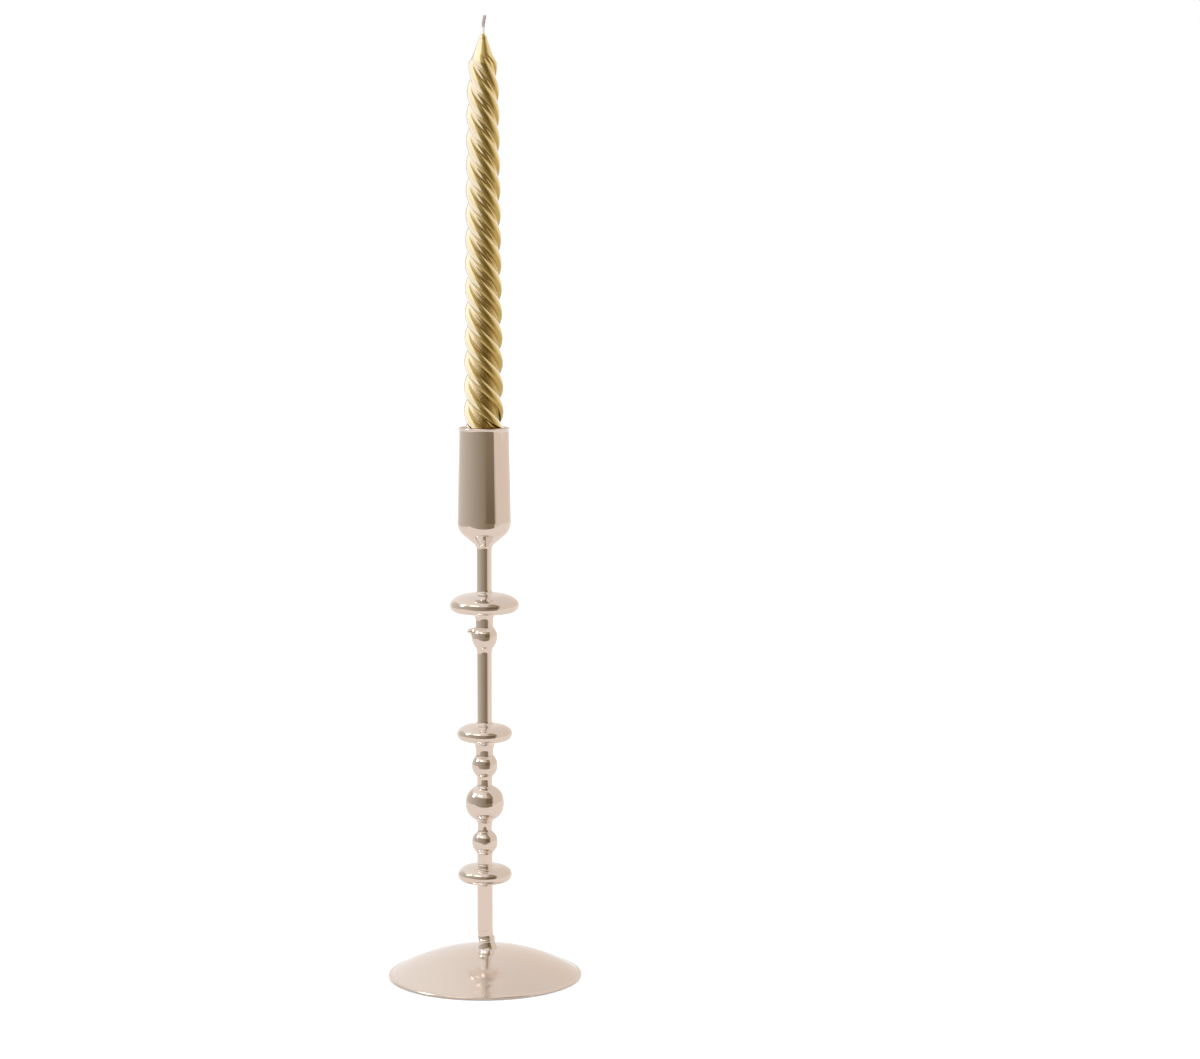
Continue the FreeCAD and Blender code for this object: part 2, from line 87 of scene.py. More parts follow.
class Body(Enum):
    """Moving bodies of the record."""

    HOLDER = "holder"
    CANDLE = "candle"


class MathStep(Enum):
    """Operations of the math node that the trees here use."""

    ADD = "ADD"
    SUBTRACT = "SUBTRACT"
    MULTIPLY = "MULTIPLY"
    DIVIDE = "DIVIDE"
    SINE = "SINE"
    COSINE = "COSINE"
    FRACTION = "FRACT"
    ABSOLUTE = "ABSOLUTE"
    MINIMUM = "MINIMUM"
    SMOOTH_MINIMUM = "SMOOTH_MIN"
    GREATER = "GREATER_THAN"
    ANGLE = "ARCTAN2"
    ARC_SINE = "ARCSINE"


@dataclass(frozen=True)
class Number:
    """A number that a node tree works out, for use in formulas.

    Attributes:
        make: Builder of its tree.
        socket: The output that gives it.
    """

    make: "TreeBuilder"
    socket: bpy.types.NodeSocket

    def __add__(self, other: object) -> "Number":
        """This number plus another."""
        return self.make.math(MathStep.ADD, self, other)

    def __sub__(self, other: object) -> "Number":
        """This number minus another."""
        return self.make.math(MathStep.SUBTRACT, self, other)

    def __rsub__(self, other: float) -> "Number":
        """A plain number minus this one."""
        return self.make.math(MathStep.SUBTRACT, other, self)

    def __mul__(self, other: object) -> "Number":
        """This number times another."""
        return self.make.math(MathStep.MULTIPLY, self, other)

    def __truediv__(self, other: object) -> "Number":
        """This number divided by another."""
        return self.make.math(MathStep.DIVIDE, self, other)

    def __rtruediv__(self, other: float) -> "Number":
        """A plain number divided by this one."""
        return self.make.math(MathStep.DIVIDE, other, self)


@dataclass
class TreeBuilder:
    """Adds and links nodes in one node tree, of any kind.

    Attributes:
        tree: The node tree that is built.
    """

    tree: bpy.types.NodeTree

    def add(self, kind: str, inputs: Inputs | None = None, **settings: object) -> bpy.types.Node:
        """Add a node.

        Args:
            kind: The node's type name.
            inputs: What feeds its inputs.
            **settings: Properties to set on the node.

        Returns:
            The new node.
        """
        node = self.tree.nodes.new(kind)
        for name, value in settings.items():
            setattr(node, name, value)
        self.feed(node, inputs or {})
        return node

    def feed(self, node: bpy.types.Node, inputs: Inputs) -> None:
        """Feed a node's inputs.

        Args:
            node: The node.
            inputs: For each input, by name or number, its value or what is linked into it: a
                number of the tree, an output, or a node for its first output.
        """
        for name, value in inputs.items():
            if isinstance(value, Number):
                value = value.socket
            elif isinstance(value, bpy.types.Node):
                value = value.outputs[0]
            if isinstance(value, bpy.types.NodeSocket):
                self.tree.links.new(value, node.inputs[name])
            else:
                node.inputs[name].default_value = value

    def given(self) -> dict[str, Number]:
        """The tree's own inputs by their names."""
        outputs = self.add("NodeGroupInput").outputs
        return {socket.name: Number(self, socket) for socket in outputs}

    def own_place(self) -> bpy.types.NodeSocket:
        """Where a shaded point lies on the object."""
        return self.add("ShaderNodeTexCoord").outputs["Object"]

    def axes(self, vector: object) -> list[Number]:
        """X, Y and Z of a vector."""
        return [Number(self, out) for out in self.add("ShaderNodeSeparateXYZ", {0: vector}).outputs]

    def vector(self, x: object, y: object, z: object) -> bpy.types.Node:
        """A vector of three numbers."""
        return self.add("ShaderNodeCombineXYZ", {0: x, 1: y, 2: z})

    def noise(self, scale: object, detail: float) -> Number:
        """Noise on the object, with so many waves to a metre in so many finer layers."""
        inputs = {"Vector": self.own_place(), "Scale": scale, "Detail": detail}
        return Number(self, self.add("ShaderNodeTexNoise", inputs).outputs["Fac"])

    def math(self, step: MathStep, *values: object) -> Number:
        """The result of one operation on numbers, in their order."""
        node = self.add("ShaderNodeMath", dict(enumerate(values)), operation=step.value)
        return Number(self, node.outputs[0])

    def curve(self, value: Number, points: list[Point]) -> Number:
        """Add a smooth float curve.

        Args:
            value: What the curve is read at, from 0 to 1.
            points: The curve's points in order, both numbers from 0 to 1.

        Returns:
            The curve's value.
        """
        node = self.add("ShaderNodeFloatCurve", {"Value": value})
        curve = node.mapping.curves[0]
        while len(curve.points) < len(points):
            curve.points.new(0.5, 0.5)
        for held, spot in zip(curve.points, points):
            held.location, held.handle_type = spot, "AUTO_CLAMPED"
        node.mapping.update()
        return Number(self, node.outputs[0])

    def remap(self, value: object, low: float, high: float, start: object, end: object,
              smooth: bool = False) -> Number:
        """Map a range of values on another one, clamped at its ends.

        Args:
            value: The number that is read.
            low: Value that gives start.
            high: Value that gives end.
            start: Result at low.
            end: Result at high.
            smooth: Ease in and out between the two.

        Returns:
            The mapped value.
        """
        node = self.add("ShaderNodeMapRange", dict(enumerate((value, low, high, start, end))),
                        interpolation_type="SMOOTHSTEP" if smooth else "LINEAR")
        return Number(self, node.outputs[0])

    def edge(self, value: Number, middle: float, width: float, end: float) -> Number:
        """A soft step of some width to 1 or to 0, whichever the end is."""
        return self.remap(value, middle - width / 2, middle + width / 2, 1.0 - end, end, True)

    def mix(self, share: object, first: object, second: object) -> bpy.types.NodeSocket:
        """Mix two colours.

        Args:
            share: How much of the second one.
            first: A colour or its socket.
            second: A colour or its socket.

        Returns:
            The mixed colour, third of the node's outputs.
        """
        first, second = ((*value, 1.0) if isinstance(value, tuple) else value
                         for value in (first, second))
        inputs = {"Factor": share, 6: first, 7: second}
        return self.add("ShaderNodeMix", inputs, data_type="RGBA").outputs[2]


def new_material(name: str) -> tuple[bpy.types.Material, TreeBuilder]:
    """Start a material.

    Args:
        name: Its name.

    Returns:
        The material and the builder of its tree.
    """
    material = bpy.data.materials.new(name)
    material.use_nodes = True
    return material, TreeBuilder(material.node_tree)


@dataclass(frozen=True)
class HandledSurface:
    """Shader node group for slow waves, hazy patches and fine grain on a piece.

    Attributes:
        wave_detail: How many finer layers the waves have.
        haze_detail: The same of the patches.
        grain_detail: The same of the grain.
    """

    wave_detail: float = 1.0
    haze_detail: float = 4.0
    grain_detail: float = 2.0

    def group(self) -> bpy.types.NodeTree:
        """The node group, made at its first use."""
        name = "handled surface"
        if name in bpy.data.node_groups:
            return bpy.data.node_groups[name]
        tree = bpy.data.node_groups.new(name, "ShaderNodeTree")
        sockets = {
            "INPUT": ("Wave scale", "Wave depth", "Haze scale", "Grain scale", "Grain depth"),
            "OUTPUT": ("Haze", "Relief"),
        }
        for way, titles in sockets.items():
            for title in titles:
                tree.interface.new_socket(title, in_out=way, socket_type="NodeSocketFloat")
        make = TreeBuilder(tree)
        given = make.given()
        wave = make.noise(given["Wave scale"], self.wave_detail) * given["Wave depth"]
        grain = make.noise(given["Grain scale"], self.grain_detail) * given["Grain depth"]
        haze = make.noise(given["Haze scale"], self.haze_detail)
        make.add("NodeGroupOutput", {"Haze": haze, "Relief": wave + grain})
        return tree


@dataclass(frozen=True)
class Finish:
    """A procedural surface on a Principled shader, with the handled surface's marks.

    Attributes:
        name: Name of the material.
        slot: The record's slot that it stands for; not used.
        colour: Base colour.
        second_colour: Colour of the hazy patches.
        metallic: 1 for metal, 0 for anything else.
        roughness: Lowest and highest roughness over the surface.
        haze_span: Values of the haze that give the two.
        haze_scale: How many hazy patches go into a metre.
        wave_scale: How many slow waves go into a metre.
        wave_depth: Depth of the slow waves.
        grain_scale: How many grains go into a metre.
        grain_depth: Depth of the fine grain.
        painted_reflection_colour: Painted reflection, a paler base colour that the piece shows only
            where other pieces mirror it, if it differs.
        coat: Weight of the clear lacquer over it.
        coat_roughness: Roughness of that lacquer.
        climb: Heights between which the second colour takes over, if it does.
    """

    name: str
    slot: Slot
    colour: Colour
    second_colour: Colour
    metallic: float = 1.0
    roughness: Point = (0.05, 0.1)
    haze_span: Point = (0.3, 0.7)
    haze_scale: float = 160.0
    wave_scale: float = 42.0
    wave_depth: float = 0.0
    grain_scale: float = 900.0
    grain_depth: float = 0.0
    painted_reflection_colour: Colour | None = None
    coat: float = 0.0
    coat_roughness: float = 0.16
    climb: Point | None = None

    def material(self) -> bpy.types.Material:
        """The material, made at its first use."""
        if self.name in bpy.data.materials:
            return bpy.data.materials[self.name]
        material, make = new_material(self.name)
        marks = make.add("ShaderNodeGroup", {
            "Wave scale": self.wave_scale, "Wave depth": self.wave_depth * MM,
            "Haze scale": self.haze_scale, "Grain scale": self.grain_scale,
            "Grain depth": self.grain_depth * MM}, node_tree=HandledSurface().group()).outputs
        share = marks["Haze"]
        if self.climb:
            height = make.axes(make.own_place())[2]
            share = make.remap(height, *(end * MM for end in self.climb), 0.0, 1.0)
        base = make.mix(share, self.colour, self.second_colour)
        # Painted reflection: where other pieces mirror this one, its base colour is swapped for a
        # paler one.
        if self.painted_reflection_colour:
            mirrored = make.add("ShaderNodeLightPath").outputs["Is Glossy Ray"]
            base = make.mix(mirrored, base, self.painted_reflection_colour)
        make.feed(make.tree.nodes["Principled BSDF"], {
            "Base Color": base, "Metallic": self.metallic,
            "Roughness": make.remap(marks["Haze"], *self.haze_span, *self.roughness),
            "Coat Weight": self.coat, "Coat Roughness": self.coat_roughness,
            "Normal": make.add("ShaderNodeBump", {"Distance": 1.0, "Height": marks["Relief"]})})
        return material

    def dress(self, piece: bpy.types.Object) -> None:
        """Give a piece this finish."""
        piece.data.materials.clear()
        piece.data.materials.append(self.material())


# Plate and wax get a painted reflection: a paler colour that shows only where other pieces mirror
# them.
PLATE = Finish("champagne plate", Slot.PLATE, (0.71, 0.585, 0.50), (0.70, 0.57, 0.48),
               roughness=(0.055, 0.085), wave_depth=0.05, painted_reflection_colour=(0.95, 0.92, 0.90))
SATIN_PLATE = replace(PLATE, name="champagne plate, satin", roughness=(0.11, 0.15))
WAX = Finish("gold lacquered wax", Slot.WAX, (0.47, 0.315, 0.078), (0.45, 0.30, 0.065),
             roughness=(0.23, 0.28), wave_depth=0.05, painted_reflection_colour=(0.64, 0.49, 0.24), coat=1.0)
COTTON = Finish("waxed wick cotton", Slot.COTTON, (0.62, 0.52, 0.34), (0.33, 0.25, 0.16),
                metallic=0.1, roughness=(0.45, 0.7), grain_depth=0.06, grain_scale=3000.0,
                climb=(510.6, 512.4))
FELT = Finish("felt", Slot.FELT, (0.035, 0.033, 0.03), (0.06, 0.056, 0.05), metallic=0.0,
              roughness=(0.9, 1.0), grain_depth=0.25, grain_scale=2400.0)
CAST = Finish("cast ballast", Slot.BALLAST, (0.03, 0.03, 0.032), (0.06, 0.058, 0.055),
              metallic=0.4, roughness=(0.6, 0.85), grain_depth=0.2, grain_scale=700.0)
STEEL = Finish("zinc plated steel", Slot.STEEL, (0.6, 0.6, 0.62), (0.52, 0.53, 0.56),
               roughness=(0.25, 0.45), grain_depth=0.02, grain_scale=2500.0)


@dataclass
class Outline:
    """The outline of a turned piece, from its lowest ring to its last.

    Attributes:
        points: Radius and height of its points so far.
    """

    points: list[Point]

    def line(self, *ends: Point) -> "Outline":
        """Go straight to each of the ends in turn."""
        self.points.extend(ends)
        return self

    def arc(self, centre: Point, end: Point, steps: int, stretch: float = 1.0) -> "Outline":
        """Go to an end on an arc, or on an ellipse with an upright axis.

        Args:
            centre: The arc's centre.
            end: Where it stops.
            steps: How many stretches stand for it.
            stretch: Height of the ellipse over its width.

        Returns:
            The outline itself.
        """
        begin = self.points[-1]
        first, last = (math.atan2((spot[1] - centre[1]) / stretch, spot[0] - centre[0])
                       for spot in (begin, end))
        reach = math.hypot(begin[0] - centre[0], (begin[1] - centre[1]) / stretch)
        for step in range(1, steps):
            angle = first + (last - first) * step / steps
            self.points.append((centre[0] + reach * math.cos(angle),
                                centre[1] + reach * stretch * math.sin(angle)))
        return self.line(end)

    def ease(self, end: Point, leave: float, arrive: float, steps: int) -> "Outline":
        """Go to an end on a smooth curve that starts and ends in given directions.

        Args:
            end: Where it stops.
            leave: Direction at the start in degrees; 0 is outwards, 90 is up.
            arrive: Direction at the end.
            steps: How many stretches stand for it.

        Returns:
            The outline itself.
        """
        begin, stop = Vector(self.points[-1]), Vector(end)
        handle = (stop - begin).length * HANDLE_SHARE
        ways = [Vector((math.cos(math.radians(way)), math.sin(math.radians(way))))
                for way in (leave, arrive)]
        first, second = begin + ways[0] * handle, stop - ways[1] * handle
        for step in range(1, steps):
            on = step / steps
            off = 1 - on
            spot = (begin * off ** 3 + first * 3 * off * off * on + second * 3 * off * on * on
                    + stop * on ** 3)
            self.points.append((spot.x, spot.y))
        return self.line(end)

    def bow(self, end: Point, share: float, steps: int) -> "Outline":
        """Go to an end on an arc whose middle stands off the chord.

        Args:
            end: Where it stops.
            share: How far it stands off, as a share of the chord; going up, a positive one bows
                outwards.
            steps: How many stretches stand for it.

        Returns:
            The outline itself.
        """
        begin = Vector(self.points[-1])
        chord = Vector(end) - begin
        off = Vector((chord.y, -chord.x)) * share
        half, sagitta = chord.length / 2, off.length
        radius = (half ** 2 + sagitta ** 2) / (2 * sagitta)
        middle, along = off.normalized(), chord.normalized()
        centre = begin + chord / 2 - middle * (radius - sagitta)
        sweep = math.asin(min(1.0, half / radius))
        for step in range(1, steps):
            angle = sweep * (2 * step / steps - 1)
            spot = centre + middle * radius * math.cos(angle) + along * radius * math.sin(angle)
            self.points.append((spot.x, spot.y))
        return self.line(end)


def finished_mesh(name: str, mesh: bmesh.types.BMesh, sharp_degrees: float) -> bpy.types.Object:
    """Close, orient and smooth a mesh and link it as an object.

    Args:
        name: Name of the object.
        mesh: The mesh, which is freed.
        sharp_degrees: Edges that turn by more stay sharp.

    Returns:
        The new object.
    """
    bmesh.ops.remove_doubles(mesh, verts=mesh.verts, dist=WELD)
    bmesh.ops.recalc_face_normals(mesh, faces=mesh.faces)
    data = bpy.data.meshes.new(name)
    mesh.to_mesh(data)
    mesh.free()
    data.shade_smooth()
    data.set_sharp_from_angle(angle=math.radians(sharp_degrees))
    piece = bpy.data.objects.new(name, data)
    bpy.context.scene.collection.objects.link(piece)
    return piece


def log_piece(piece: bpy.types.Object) -> None:
    """Report a finished piece."""
    LOG.info("%s: %d faces", piece.name, len(piece.data.polygons))


@dataclass(frozen=True)
class Lathe:
    """Turns outlines into closed smooth meshes.

    Attributes:
        segments: Facets in one turn.
        sharp_degrees: Edges that turn by more stay sharp.
    """

    segments: int = 224
    sharp_degrees: float = 28.0

    def shift(self, point: Point, angle: float) -> Vector:
        """Where a point of the outline comes to lie at an angle, in millimetres."""
        return Vector((point[0] * math.cos(angle), point[0] * math.sin(angle), point[1]))

    def turn(self, name: str, outline: Outline) -> bpy.types.Object:
        """Sweep an outline round the axis, and close it there at both ends.

        Args:
            name: Name of the piece.
            outline: Its outline.

        Returns:
            The new object, linked to the scene.
        """
        mesh = bmesh.new()
        angles = [FULL_TURN * step / self.segments for step in range(self.segments)]
        places = [[self.shift(point, angle) for angle in angles] for point in outline.points]
        poles = [[Vector((0.0, 0.0, outline.points[end][1]))] for end in (0, -1)]
        rings = [[mesh.verts.new(place * MM) for place in ring]
                 for ring in (poles[0], *places, poles[1])]
        for low, high in zip(rings, rings[1:]):
            for step in range(self.segments):
                following = (step + 1) % self.segments
                corners = [low[step % len(low)], low[following % len(low)],
                           high[following % len(high)], high[step % len(high)]]
                mesh.faces.new(list(dict.fromkeys(corners)))
        return finished_mesh(name, mesh, self.sharp_degrees)


@dataclass
class CadPiece:
    """A piece that stands for one CAD node.

    Attributes:
        node: Name of the CAD node.
    """

    node: str

    @property
    def bottom(self) -> float:
        """Height of the CAD node's lowest point."""
        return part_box(self.node)[0].z / MM

    @property
    def top(self) -> float:
        """Height of the CAD node's highest point."""
        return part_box(self.node)[1].z / MM

    @property
    def reach(self) -> float:
        """How far the CAD node reaches to +X."""
        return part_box(self.node)[1].x / MM


@dataclass
class TurnedPiece(CadPiece):
    """A plated piece of the same shape as its CAD node."""

    def outline(self) -> Outline:
        """The piece's outline from below to above."""
        raise NotImplementedError

    def lathe(self) -> Lathe:
        """The lathe that turns this piece."""
        return Lathe()

    def finish(self) -> Finish:
        """The finish that this piece wears."""
        return PLATE

    def build(self) -> bpy.types.Object:
        """Turn the piece, plate it and put it in the CAD node's place."""
        piece = self.lathe().turn(self.node + "_turned", self.outline())
        self.finish().dress(piece)
        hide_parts(self.node)
        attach(piece, Body.HOLDER.value)
        log_piece(piece)
        return piece


@dataclass
class Neck(TurnedPiece):
    """A straight stretch of the stem that runs smoothly into what is below and above it.

    Attributes:
        radius: Radius of the straight stretch.
        flare: How much it widens at its top.
        flare_height: Over which height it widens.
        foot_slope: Slope in degrees of the piece below, where the two meet.
        foot_flare: How much it widens at its foot.
        foot_height: Over which height it widens there.
        foot_grip: How much of that slope its foot follows down into the piece below.
        top_sink: How far its top is sunk into the piece above.
        steps: Stretches that stand for each curve.
    """

    radius: float
    flare: float
    flare_height: float
    foot_slope: float = 38.0
    foot_flare: float = 0.8
    foot_height: float = 1.0
    foot_grip: float = 0.9
    top_sink: float = 0.0
    steps: int = 16

    def outline(self) -> Outline:
        """A straight wall with a hollow curve at each end."""
        bottom, top = self.bottom, self.top
        curve = (self.flare ** 2 + self.flare_height ** 2) / (2 * self.flare)
        sink = self.foot_flare * math.tan(math.radians(self.foot_grip * self.foot_slope))
        line = Outline([(self.radius + self.foot_flare, bottom - sink)])
        line.ease((self.radius, bottom + self.foot_height), 180 - self.foot_slope, 90.0, self.steps)
        line.line((self.radius, top - self.flare_height))
        line.arc((self.radius + curve, top - self.flare_height), (self.radius + self.flare, top),
                 self.steps)
        return line.line((self.radius + self.flare, top + self.top_sink))


@dataclass
class Bead(TurnedPiece):
    """A round bead with full shoulders and a short belt between them.

    Attributes:
        shoulder: Radius of the shoulders.
        under_radius: Radius of the land below.
        over_radius: Radius of the land above.
        steps: Stretches that stand for each shoulder.
    """

    shoulder: float
    under_radius: float
    over_radius: float
    steps: int = 26

    def outline(self) -> Outline:
        """Two shoulders with a belt between them."""
        inner = self.reach - self.shoulder
        low, high = (math.sqrt(self.shoulder ** 2 - (land - inner) ** 2)
                     for land in (self.under_radius, self.over_radius))
        low, high = self.bottom + low, self.top - high
        line = Outline([(self.under_radius, self.bottom)])
        line.arc((inner, low), (self.reach, low), self.steps).line((self.reach, high))
        return line.arc((inner, high), (self.over_radius, self.top), self.steps)


@dataclass
class BallBead(TurnedPiece):
    """A bead that is a ball, a little flattened, between two lands.

    Attributes:
        under_radius: Radius of the land below.
        over_radius: Radius of the land above.
        fullness: 2 for a plain ball, more for fuller shoulders.
        steps: Stretches that stand for the ball.
    """

    under_radius: float
    over_radius: float
    fullness: float = 2.2
    steps: int = 60

    def outline(self) -> Outline:
        """One even curve from land to land."""
        radius, power = self.reach, 2 / self.fullness
        low, high = (math.acos((land / radius) ** (1 / power))
                     for land in (self.under_radius, self.over_radius))
        half_height = (self.top - self.bottom) / (math.sin(low) ** power + math.sin(high) ** power)
        middle = self.bottom + half_height * math.sin(low) ** power
        line = Outline([(self.under_radius, self.bottom)])
        for step in range(1, self.steps + 1):
            turn = (low + high) * step / self.steps - low
            rise = math.copysign(abs(math.sin(turn)) ** power, turn)
            line.line((radius * math.cos(turn) ** power, middle + half_height * rise))
        return line


@dataclass
class Disc(TurnedPiece):
    """A disc with full faces and a round nose.

    Attributes:
        below: Height of its widest place above its lowest.
        edge: Radius of the nose.
        under_radius: Radius of the land below.
        over_radius: Radius of the land above.
        crown_slope: Slope of the upper face where it meets the stem, in degrees.
        top_bow: How full the upper face is, as a share of its width.
        under_bow: How full the lower face is.
        steps: Stretches that stand for each of the three curves.
        tries: Rounds in which the nose's ends are found.
    """

    below: float
    edge: float
    under_radius: float
    over_radius: float
    crown_slope: float = 11.0
    top_bow: float = 0.09
    under_bow: float = 0.02
    steps: int = 28
    tries: int = 12

    def nose_end(self, rise: float, land_radius: float, bow: float) -> Point:
        """Where the nose ends so that the bowed face runs on without a crease.

        Args:
            rise: Height of the land above or below the widest place.
            land_radius: Radius of the land.
            bow: How full the face is.

        Returns:
            How far out and how far up or down from the nose's centre.
        """
        angle, inner = math.pi / 2, self.reach - self.edge
        for _ in range(self.tries):
            across = inner + self.edge * math.cos(angle) - land_radius
            slope = math.atan2(rise - self.edge * math.sin(angle), across)
            angle = math.pi / 2 - slope - 2 * math.atan(2 * bow)
        return self.edge * math.cos(angle), self.edge * math.sin(angle)

    def outline(self) -> Outline:
        """Lower face, nose and upper face."""
        centre = (self.reach - self.edge, self.bottom + self.below)
        low = self.nose_end(self.below, self.under_radius, self.under_bow)
        high = self.nose_end(self.top - centre[1], self.over_radius, self.top_bow)
        line = Outline([(self.under_radius, self.bottom)])
        line.bow((centre[0] + low[0], centre[1] - low[1]), self.under_bow, self.steps)
        line.arc(centre, (centre[0] + high[0], centre[1] + high[1]), self.steps)
        leave = 90 + math.degrees(math.atan2(high[1], high[0]))
        return line.ease((self.over_radius, self.top), leave, 180 - self.crown_slope, self.steps)


@dataclass(frozen=True)
class SpurLathe(Lathe):
    """A lathe that draws a small spur out of the turned shape.

    Attributes:
        height: Height of the spur's tip.
        reach: How far it reaches from the axis to -X.
        width: How wide it is drawn out.
        hump: Share of it that is a plain hump; the rest is a blunt point.
        bluntness: How much narrower that point is than the hump.
    """

    height: float = 0.0
    reach: float = 9.6
    width: float = 1.9
    hump: float = 0.55
    bluntness: float = 4.0

    def shift(self, point: Point, angle: float) -> Vector:
        """Move the points near the spur out towards its tip."""
        if math.cos(angle) > 0.0:
            return super().shift(point, angle)
        away = math.hypot(point[0] * math.sin(angle), point[1] - self.height) / self.width
        drawn = (self.hump * math.exp(-(away ** 2))
                 + (1 - self.hump) * math.exp(-(away ** 4) * self.bluntness))
        radius = point[0] + max(0.0, self.reach - point[0]) * drawn
        return super().shift((radius, point[1]), angle)


@dataclass
class DropBead(TurnedPiece):
    """The drop-shaped bead under the top neck, with its spur.

    Attributes:
        radius: Its widest radius.
        shoulder: Radius of the shoulder above.
        drop: Height of the long lower half if it went on to the axis.
        under_radius: Radius of the land below.
        over_radius: Radius of the land above.
        spur_rise: Height of the spur above the widest place.
        steps: Stretches that stand for each half.
    """

    radius: float
    shoulder: float
    drop: float
    under_radius: float
    over_radius: float
    spur_rise: float
    steps: int = 40

    def middle(self) -> float:
        """Height of its widest place."""
        return self.bottom + self.drop * math.cos(math.asin(self.under_radius / self.radius))

    def lathe(self) -> Lathe:
        """The lathe that draws out the spur, as far as the CAD node's reaches."""
        return SpurLathe(height=self.middle() + self.spur_rise, reach=-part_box(self.node)[0].x / MM)

    def outline(self) -> Outline:
        """A long lower half and a round shoulder."""
        middle, inner = self.middle(), self.radius - self.shoulder
        line = Outline([(self.under_radius, self.bottom)])
        line.arc((0.0, middle), (self.radius, middle), self.steps, self.drop / self.radius)
        return line.arc((inner, middle), (self.over_radius, self.top), self.steps)


@dataclass(frozen=True)
class LeaningLathe(Lathe):
    """A lathe for a piece whose rings move to +X towards its foot.

    Attributes:
        foot: Height where the rings stand off the most.
        head: Height from which they are on the axis.
        offset: How far the lowest ring stands off.
    """

    foot: float = 0.0
    head: float = 1.0
    offset: float = 0.0

    def shift(self, point: Point, angle: float) -> Vector:
        """Move each ring by its height."""
        share = (self.head - point[1]) / (self.head - self.foot)
        return super().shift(point, angle) + Vector((self.offset * share, 0, 0))


@dataclass
class FootCollar(TurnedPiece):
    """The lopsided collar at the stem's foot, with a small ring.

    Attributes:
        radius: Radius at its foot.
        stem_radius: Radius at its head.
        offset: How far its foot stands off the axis.
        ring_radius: Radius of the small ring.
        ring_height: Height of the small ring above the foot.
        ring_width: Height of the small ring itself.
        hollow: Power of the flare's curve; more is hollower.
        steps: Stretches that stand for the collar.
    """

    radius: float
    stem_radius: float
    offset: float
    ring_radius: float
    ring_height: float
    ring_width: float
    hollow: int = 4
    steps: int = 60

    def lathe(self) -> Lathe:
        """The lathe that moves the rings."""
        return LeaningLathe(foot=self.bottom, head=self.top, offset=self.offset)

    def outline(self) -> Outline:
        """A hollow flare with a soft ring on it."""
        bottom, height = self.bottom, self.top - self.bottom
        line = Outline([])
        for step in range(self.steps + 1):
            share = step / self.steps
            flare = self.stem_radius + (self.radius - self.stem_radius) * (1 - share) ** self.hollow
            away = (share * height - self.ring_height) / (self.ring_width / 2)
            swell = max(0.0, self.ring_radius - flare) * math.exp(-(away ** 2))
            line.line((flare + swell, bottom + share * height))
        return line


@dataclass
class FootDome(TurnedPiece):
    """The thin domed foot with its rounded rim.

    Attributes:
        rise: Rise of the dome above the rim's top.
        rim_height: Height of the rim's top.
        wall: Thickness of the wall.
        nose: Radius of the rim's round.
        lip: Width of the flat lip inside it.
        lip_drop: How far the lip falls towards the rim.
        lip_slope: Direction in degrees in which the lip leaves the rim.
        land_radius: Radius of the flat land under the collar.
        steps: Stretches that stand for the rim's round, the lip and the dome.
    """

    rise: float = 15.05
    rim_height: float = 0.9
    wall: float = 1.0
    nose: float = 0.5
    lip: float = 1.6
    lip_drop: float = 0.45
    lip_slope: float = 175.0
    land_radius: float = 7.0
    steps: tuple[int, int, int] = (12, 10, 90)

    def finish(self) -> Finish:
        """The dome is a little less bright than the stem."""
        return SATIN_PLATE

    @property
    def radius(self) -> float:
        """Radius of the ball that the dome is cut from."""
        return (self.reach ** 2 + self.rise ** 2) / (2 * self.rise)

    @property
    def centre(self) -> float:
        """Height of that ball's centre."""
        return self.rim_height + self.rise - self.radius

    def height(self, at: float, inset: float = 0.0) -> float:
        """Height of the dome at a radius, or of a surface inset below it."""
        return self.centre + math.sqrt((self.radius - inset) ** 2 - at ** 2)

    def outline(self) -> Outline:
        """Underside first, then the rim and the dome up to its land."""
        bottom, land, centre = self.bottom, self.land_radius, (0.0, self.centre)
        round_steps, lip_steps, dome_steps = self.steps
        inner = math.sqrt((self.radius - self.wall) ** 2 - (bottom - self.centre) ** 2)
        rim = self.reach - self.nose
        start = rim - self.lip
        edge = self.height(start) - self.lip_drop
        line = Outline([(land, self.height(land) - self.wall)])
        line.line((land, self.height(land, self.wall)))
        line.arc(centre, (inner, bottom), dome_steps).line((rim, bottom))
        line.bow((rim, edge), self.nose / (edge - bottom), round_steps)
        slope = math.degrees(math.asin(start / self.radius))
        line.ease((start, self.height(start)), self.lip_slope, 180 - slope, lip_steps)
        return line.arc(centre, (land, self.height(land)), dome_steps)


